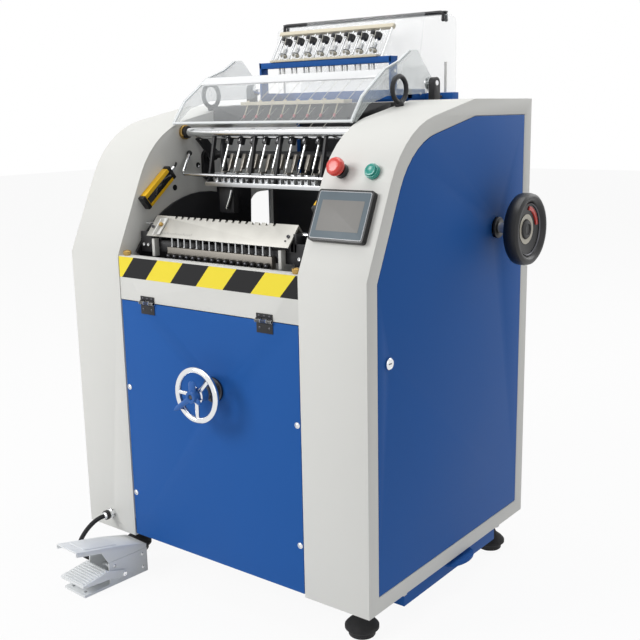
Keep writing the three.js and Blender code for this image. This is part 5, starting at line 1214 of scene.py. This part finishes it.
def addCoverEdges(outer):
    (y0, z0), (y1, z1) = outer[:2]
    lower = [(y0 - 0.2, z0 - 0.3), (y1 - 0.2, z1), (y1 + 2, z1 - 2), (y0 + 2, z0 - 2.4)]
    edges = prism(lower, "x", cover["left"], cover["right"])
    rim = [fromPivot(share) for share in cover["cheek"][:cover["rimPoints"]]]
    for start in (cover["left"], cover["right"] - cover["rimWide"]):
        edges += prism(rim + shifted(rim[::-1], cover["rimDeep"]), "x", start, start + cover["rimWide"])
    addPiece("coverEdges", "sheetEdge", edges, body="cover")
    # pale band near the visor's top: a painted highlight
    (y0, z0), (y1, z1) = outer[-6], outer[-1]
    ends = [(y0 + (y1 - y0) * share, z0 + (z1 - z0) * share) for share in cover["band"]]
    band = shifted(ends, cover["bandProud"]) + shifted(ends[::-1], cover["bandDeep"])
    inset = cover["bandInset"]
    band = prism(band, "x", cover["left"] + inset, cover["right"] - inset)
    addPiece("coverHighlightBand", "frostedSheet", band, bevel=0.3, body="cover")


def addCover():
    outer = addVisor()
    outline = [fromPivot(share) for share in cover["cheek"]]
    cheeks = joined(prism(outline, "x", start, start + cover["thick"])
                    for start in (cover["left"], cover["right"] - cover["thick"]))
    addPiece("coverCheeks", "tintedSheet", cheeks, bevel=0.4, body="cover")
    addCoverEdges(outer)
    pins = []
    for wall, inward in walls:
        pivot = [(wall + inward * far, *cover["pivot"])
                 for far in (*cover["pin"], cover["washerOut"], cover["screwOut"])]
        pins += rod(pivot[0], pivot[1], cover["pinRadius"], 28)
        pins += turned(cover["washer"], pivot[2], (inward, 0, 0), 32)
        pins += domeScrew(pivot[3], (inward, 0, 0), *cover["screw"])
    addPiece("coverPins", "chrome", pins, body="cover")
    for name in ("left_cover_hinge", "right_cover_hinge"):
        dress(name, "blackCoat", 1.2)


addCover()

# lifting eyes: collar cut to the slope of the casing's top, neck and ring
eye = {
    "x": (150, 708), "y": 345, "surface": 1100.6, "ring": 27, "ringMiddle": 1136.1, "wire": 5.3,
    "collar": [(0, -3), (9.4, -3), (10, 3), (10, 7), (8.6, 9), (0, 9.6)], "neckUp": 6,
    "neck": [(0, 0), (8, 0), (6.4, 3), (5, 8), (0, 8)], "crest": 407, "fall": 11.3, "lift": 0.4,
}


def onCasing(x, y, z):  # no lower than the casing's top, which falls away in front of its crest
    fall = max(0, eye["crest"] - y) * math.tan(math.radians(eye["fall"]))
    return (x, y, max(z, arm["top"] + eye["lift"] - fall))


def addEye(side, x):
    y, low = eye["y"], eye["surface"]
    shapes = placed(turned(eye["collar"], (x, y, low), upward, 36), onCasing)
    shapes += torus((x, y, eye["ringMiddle"]), toRight, eye["ring"], eye["wire"], 56, 18)
    shapes += turned(eye["neck"], (x, y, low + eye["neckUp"]), upward, 28)
    addPiece(f"liftingEye{side}", "blackCoat", shapes, [f"{side.lower()}_lifting_eye"])


for side, x in zip(("Left", "Right"), eye["x"]):
    addEye(side, x)

# thread rack: clear back panel with black rails and ties, leaning clear sheet, two stays
rack = {
    "rim": ((180, 678), (597.4, 602.6), (1308.4, 1310.2)), "railY": (593.2, 606.8), "railX": (189, 669),
    "railZ": (1297, 1314.3), "railBend": 8, "rail": 4, "railEnd": 4.6, "ties": (189, 347.4, 510.6, 669),
    "tieHalf": 5, "tieZ": (1313.6, 1317.2), "stays": (182, 676), "stayZ": (1132, 1200), "stayY": 594,
    "stay": 3, "screws": range(190, 690, 96), "screwPlace": (584.8, 1122), "screw": (3.4, 2.6),
}


def addRack():
    dress("rack_base", "blueCoat", 0.9)
    dress("rack_panel", "clearSheet", 0.5)
    dress("rack_sheet", "clearSheet", 0.5)
    addPiece("panelRim", "sheetEdge", block(*rack["rim"]), bevel=0.3)
    rails, stays = [], []
    (left, right), (low, high) = rack["railX"], rack["railZ"]
    for y in rack["railY"]:
        line = [(left, y, low), (left, y, high), (right, y, high), (right, y, low)]
        rails += bentTube(rounded(line, rack["railBend"]), rack["rail"], 16)
        for x in rack["railX"]:
            rails += ball((x, y, low + 0.5), rack["railEnd"], 18)
    addPiece("rackRails", "blackCoat", rails, ["rack_frame"])
    tie = (-rack["tieHalf"], rack["tieHalf"])
    ties = joined(block(beside(x, tie), rack["railY"], rack["tieZ"]) for x in rack["ties"])
    addPiece("rackTies", "blackPlastic", ties, bevel=0.5)
    for x in rack["stays"]:
        foot, top = [(x, rack["stayY"], z) for z in rack["stayZ"]]
        stays += rod(foot, top, rack["stay"], 18) + domeScrew(top, upward, 4, 2)
    screws = joined(socketScrew((x, *rack["screwPlace"]), toFront, *rack["screw"]) for x in rack["screws"])
    addPiece("rackScrews", "darkSteel", screws)
    addPiece("rackStays", "whitePlastic", stays)


addRack()

# tension beam: blue channel on two plates, cream ledge and upper bar, posts, screws and wire guides
tension = {
    "x": (232, 626), "y": 450, "lean": math.radians(34), "ledgeTop": 1218.3, "half": 13, "z": (1199, 1213),
    "foot": ((507, 527), (1118, 1140)), "plateWide": 6,
    "plate": [(437, 1118), (584.7, 1118), (584.7, 1140), (463, 1140), (463, 1213), (437, 1213)],
    "ledge": ((270, 588), (433, 467), (1213.3, 1218.3)), "bar": ((72, 82), (-5, 5)), "barX": (259, 599),
    "posts": (263.8, 594.2), "postEnds": (-14, 77), "post": 3.5, "screwProud": 0.1, "screw": (4, 3.4),
    "screws": ((450, 1180), (450, 1130), (560, 1129)), "guideHalf": 7, "guideZ": (1200, 1177),
    "guideBend": 5.6, "guideWire": 2.2,
}
tensionWay, _, alongTension = leaning((tension["y"], tension["ledgeTop"]), tension["lean"])


def addTensionBeam():
    (left, right), y, half = tension["x"], tension["y"], tension["half"]
    blue = block(tension["x"], (y - half, y + half), tension["z"]) + block(tension["x"], *tension["foot"])
    for x in (left, right - tension["plateWide"]):
        blue += prism(tension["plate"], "x", x, x + tension["plateWide"])
    addPiece("tensionBeamBody", "blueCoat", blue, ["tension_beam"], 0.8)
    cream = block(*tension["ledge"]) + leanBlock(alongTension, tension["barX"], *tension["bar"])
    addPiece("tensionLedge", "creamCoat", cream, ["thread_tensioners"], 0.6)
    bright, guides = [], []
    for x in tension["posts"]:
        start, end = [alongTension(x, far) for far in tension["postEnds"]]
        bright += rod(start, end, tension["post"])
    for x, out in ((left, -1), (right, 1)):
        for place in tension["screws"]:
            bright += socketScrew((x + out * tension["screwProud"], *place), (out, 0, 0), *tension["screw"])
    addPiece("tensionPosts", "chrome", bright)
    high, low = tension["guideZ"]
    for x in needleX:
        start, end = beside(x, (-tension["guideHalf"], tension["guideHalf"]))
        line = [(start, y, high), (start, y, low), (end, y, low), (end, y, high)]
        guides += bentTube(rounded(line, tension["guideBend"]), tension["guideWire"])
    addPiece("threadGuides", "whitePlastic", guides)


addTensionBeam()

# tensioners: stem, two discs, spring, knurled knob and cap, and beside each a post with a round knob
tensioner = {
    "foot": -3, "stem": (2.6, 71.6), "disc": [(0, 0), (8, 0), (10, 1.6), (8, 2), (0, 2)], "discs": (10, 15.4),
    "springFrom": 17.5, "springPitch": 2.7, "turns": 6, "spring": (4.6, 0.7), "knob": (9, 45, 59),
    "cap": [(0, 0), (6, 0), (5.4, 2), (0, 2.4)], "nut": (5.6, 3.6), "postAside": 17, "post": (2.6, 58),
    "dome": (7.5, 62), "sleeve": (4.5, 3, 52), "postNut": (5, 3),
}


def addTensioners():
    stems, knobs, discs, domes, caps, springs = [], [], [], [], [], []
    way, foot, low = tensionWay, tensioner["foot"], tensioner["disc"]
    mirrored = [(radius, -along) for radius, along in low]
    for x in needleX:
        radius, top = tensioner["stem"]
        stems += rod(alongTension(x, foot), alongTension(x, top), radius, 16)
        for profile, far in zip((low, mirrored), tensioner["discs"]):
            discs += turned(profile, alongTension(x, far), way, 32)
        for k in range(tensioner["turns"]):
            place = alongTension(x, tensioner["springFrom"] + tensioner["springPitch"] * k)
            springs += torus(place, way, *tensioner["spring"], 16, 6)
        radius, start, end = tensioner["knob"]
        knobs += knurled(alongTension(x, start), alongTension(x, end), radius, 26, 0.8)
        caps += turned(tensioner["cap"], alongTension(x, end), way, 24)
        post = x - tensioner["postAside"]
        radius, top = tensioner["post"]
        stems += rod(alongTension(post, foot), alongTension(post, top), radius, 14)
        radius, top = tensioner["dome"]
        domes += ball(alongTension(post, top), radius, 24)
        radius, thick, far = tensioner["sleeve"]
        caps += disc(radius, thick, alongTension(post, far), way, 20)
        stems += hexNut(alongTension(x, 0), way, *tensioner["nut"])
        stems += hexNut(alongTension(post, 0), way, *tensioner["postNut"])
    addPiece("tensionStems", "chrome", stems)
    addPiece("tensionDiscs", "steel", discs)
    addPiece("tensionSprings", "steel", springs)
    addPiece("tensionKnobs", "blackPlastic", knobs)
    addPiece("tensionDomes", "blackCoat", domes)
    addPiece("tensionCaps", "whitePlastic", caps)


addTensioners()
print("cover, eyes and rack")

# drive inside the right arm: ribbed motor with its flange and terminal box, pulley and belt
drive = {
    "y": 430, "z": 220, "start": 502.7, "back": 692.7, "fins": 36, "finX": (34, 148), "finEnds": (60, 67.6),
    "finHalf": 1.2, "can": [(0, 0), (60, 0), (66, 6), (66, 30), (62, 32), (62, 150), (66, 152), (66, 178),
                            (0, 178)],
    "flange": (12, 75), "terminals": ((58, 132), (-37, 37), (40, 90)), "pulleyX": 745, "shaftX": (693.4, 775),
    "pulley": [(10.4, 0), (35, 0), (35, 3.4), (30, 3.4), (30, 26.6), (35, 26.6), (35, 30), (10.4, 30)],
    "shaft": 11,
}


def addDrive():
    y, z, start, back = (drive[k] for k in ("y", "z", "start", "back"))
    can = turned(drive["can"], (start, y, z), toRight, 48)
    for t in fullTurn(drive["fins"]):
        out = Vector((0, math.cos(t), math.sin(t)))
        side = Vector((0, -math.sin(t), math.cos(t))) * drive["finHalf"]
        root, tip = [out * far for far in drive["finEnds"]]
        corners = (root - side, root + side, tip + side, tip - side)
        can += loft([[Vector((start + x, y, z)) + p for p in corners] for x in drive["finX"]])
    thick, half = drive["flange"]
    can += block((back - thick, back), (y - half, y + half), (z - half, z + half))
    can += block(*(beside(base, ends) for base, ends in zip((start, y, z), drive["terminals"])))
    addPiece("motorBody", "greyCoat", can, ["drive_motor"], 0.7)
    pulley = hoop(drive["pulley"], (drive["pulleyX"], y, z), toRight, 48)
    near, far = [(x, y, z) for x in drive["shaftX"]]
    pulley += rod(near, far, drive["shaft"], 32)
    addPiece("motorPulleyBody", "steel", pulley, ["motor_pulley"], body="motor_drive")
    dress("drive_belt", "blackRubber", 0.5)


addDrive()
print("drive")

# foot pedal: cast shells and treadle, ribs, bolts, screws, pad and the cord's boot.
# Drawn square at its middle and turned as the solid is
pedal = {
    "x": 141.8, "y": -76.4, "turn": math.radians(4), "ribs": 9, "ribFrom": -94, "ribPitch": 8, "ribWide": 3.4,
    "ribHalf": 40, "ribZ": (-1.5, 1.6), "treadleLow": 33.4, "treadleFront": -98, "treadleRise": 10 / 74,
    "bolt": (45.4, 18, 22), "boltSize": (5.5, 4), "sideX": 39.9, "sideScrews": ((-4, 48), (78, 48), (78, 14)),
    "sideScrew": (4, 2), "baseScrew": (24, -80, 5.9), "baseSize": (4.4, 2), "pad": ((-30, 30), (-92, 0)),
    "padCorner": 6, "padThick": 1.2, "padPlace": (0, 12, 93.1), "padTilt": math.radians(-12),
    "boot": [(5.6, 0), (9.4, 0), (9.4, 3), (8.4, 6), (8.4, 9), (9.3, 11.6), (5.6, 11.6)],
    "bootPlace": (-40.1, 58, 18),
}


def onPedal(x, y, z):
    c, s = math.cos(pedal["turn"]), math.sin(pedal["turn"])
    return (pedal["x"] + x * c + y * s, pedal["y"] - x * s + y * c, z)


def addPedalPiece(name, look, shapes, bevel=None, body="machine"):
    addPiece(name, look, placed(shapes, onPedal), (), bevel, body)


def addPedal():
    dress("pedal_base", "castCoat", 1.4)
    dress("pedal_hood", "castCoat", 1.8)
    dress("treadle", "castCoat", 1.0)
    ribs, bolts, screws = [], [], []
    half = pedal["ribHalf"]
    for k in range(pedal["ribs"]):
        y = pedal["ribFrom"] + pedal["ribPitch"] * k
        z = pedal["treadleLow"] + (y - pedal["treadleFront"]) * pedal["treadleRise"]
        ribs += block((-half, half), (y, y + pedal["ribWide"]), beside(z, pedal["ribZ"]))
    addPedalPiece("treadleRibs", "castCoat", ribs, 0.5, body="foot_plate")
    for way in (-1, 1):
        x, y, z = pedal["bolt"]
        bolts += socketScrew((way * x, y, z), (way, 0, 0), *pedal["boltSize"])
        for y, z in pedal["sideScrews"]:
            screws += domeScrew((way * pedal["sideX"], y, z), (way, 0, 0), *pedal["sideScrew"])
        x, y, z = pedal["baseScrew"]
        screws += domeScrew((way * x, y, z), upward, *pedal["baseSize"])
    addPedalPiece("treadleBolts", "chrome", bolts, body="foot_plate")
    addPedalPiece("pedalScrews", "steel", screws)
    tilt = Matrix.Translation(pedal["padPlace"]) @ Matrix.Rotation(pedal["padTilt"], 4, "X")
    pad = prism(roundBox(*pedal["pad"], pedal["padCorner"]), "z", 0, pedal["padThick"])
    pad = placed(pad, lambda x, y, z: tilt @ Vector((x, y, z)))
    addPedalPiece("hoodPad", "castCoat", pad, 0.5)
    boot = hoop(pedal["boot"], pedal["bootPlace"], (-1, 0, 0), 28)
    addPedalPiece("pedalBoot", "blackRubber", boot)


addPedal()

# back: panel screws, vent slots filled with painted shade, and the rubber seal round the opening in the rear
# corner
back = {
    "y": 677, "screwX": (180, 678), "screwZ": (130, 440, 750, 1060), "screw": (4.6, 2), "ventX": (270, 588),
    "ventZ": (860, 200), "slots": 9, "slotPitch": 12, "slotHalf": (45, 2.4), "slotCorner": 2.3,
    "slotDepth": (-0.2, 0.25), "sealX": (-0.6, 5.6), "sealY": (676.2, 680.6), "sealZ": (740, 900),
    "sealBack": (3.2, 141), "sealSide": (600, 680.6), "sealBars": ((740, 744), (896, 900)),
    "sealPosts": ((137, 141), (596, 600)),
}


def addBack():
    screws, slots, seal = [], [], []
    for x in back["screwX"]:
        for z in back["screwZ"]:
            screws += domeScrew((x, back["y"] - 0.1, z), toBack, *back["screw"])
    wide, tall = back["slotHalf"]
    for low in back["ventZ"]:
        for z in [low + back["slotPitch"] * k for k in range(back["slots"])]:
            for x in back["ventX"]:
                outline = roundBox((x - wide, x + wide), (z - tall, z + tall), back["slotCorner"], 4)
                slots += prism(outline, "y", *beside(back["y"], back["slotDepth"]))
    addPiece("backScrews", "chrome", screws)
    # the vent slots are thin black plates standing proud: painted shade in the openings
    addPiece("ventSlotShade", "blackPlastic", slots, bevel=0)
    for z in back["sealBars"]:
        seal += block(back["sealBack"], back["sealY"], z) + block(back["sealX"], back["sealSide"], z)
    postX, postY = back["sealPosts"]
    seal += block(postX, back["sealY"], back["sealZ"]) + block(back["sealX"], postY, back["sealZ"])
    addPiece("windowSeal", "blackRubber", seal, bevel=0.8)


addBack()
print("pedal and back")

# floor, world and lamps
studio = {"floor": 30, "tone": 0.86, "floorRough": 0.7, "floorShine": 0.1, "glow": 0.93, "camera": 1.0,
          "fill": 0.27, "aim": (0, 0, 0.6)}
lamps = {
    "keyLamp": {"place": (-2.6, -4.2, 3.4), "size": 2.6, "power": 168},
    "sideLamp": {"place": (4.2, -1.6, 2.4), "size": 2.4, "power": 9},
    "topLamp": {"place": (0.2, 0.4, 4.4), "size": 3.0, "power": 74},
    "backLamp": {"place": (1.6, 4.2, 2.8), "size": 2.4, "power": 36},
}


def seenShare(tree):  # 1 for the rays that show the background
    path = tree.nodes.new("ShaderNodeLightPath")
    total = path.outputs["Is Camera Ray"]
    for name in ("Is Glossy Ray", "Is Transmission Ray"):
        most = tree.nodes.new("ShaderNodeMath")
        most.operation = "MAXIMUM"
        tree.links.new(total, most.inputs[0])
        tree.links.new(path.outputs[name], most.inputs[1])
        total = most.outputs["Value"]
    return total


def addFloor():
    bpy.ops.mesh.primitive_plane_add(size=studio["floor"], location=(0, 0, 0))
    floor = bpy.context.object
    floor.name = "studioFloor"
    material, tree, shader = shaderOf("studioFloor")
    shader.inputs["Base Color"].default_value = (studio["tone"], studio["tone"], studio["tone"], 1)
    shader.inputs["Roughness"].default_value = studio["floorRough"]
    shader.inputs["Specular IOR Level"].default_value = studio["floorShine"]
    glow = tree.nodes.new("ShaderNodeEmission")
    mix = tree.nodes.new("ShaderNodeMixShader")
    tree.links.new(spread(tree, seenShare(tree), 0, studio["glow"]), mix.inputs[0])
    tree.links.new(shader.outputs[0], mix.inputs[1])
    tree.links.new(glow.outputs[0], mix.inputs[2])
    tree.links.new(mix.outputs[0], tree.nodes["Material Output"].inputs["Surface"])
    floor.data.materials.append(material)


def addLight():
    world = bpy.data.worlds.new("studioWorld")
    bpy.context.scene.world = world
    world.use_nodes = True
    sky = world.node_tree
    ground = sky.nodes["Background"]
    ground.inputs["Color"].default_value = (1, 1, 1, 1)
    sky.links.new(spread(sky, seenShare(sky), studio["fill"], studio["camera"]), ground.inputs["Strength"])
    for name, lamp in lamps.items():
        data = bpy.data.lights.new(name, "AREA")
        data.size = lamp["size"]
        data.energy = lamp["power"]
        light = bpy.data.objects.new(name, data)
        bpy.context.scene.collection.objects.link(light)
        light.location = lamp["place"]
        light.rotation_mode = "QUATERNION"
        aim = Vector(studio["aim"]) - Vector(lamp["place"])
        light.rotation_quaternion = aim.to_track_quat("-Z", "Y")


addFloor()
addLight()
bpy.context.scene.view_settings.view_transform = "Standard"
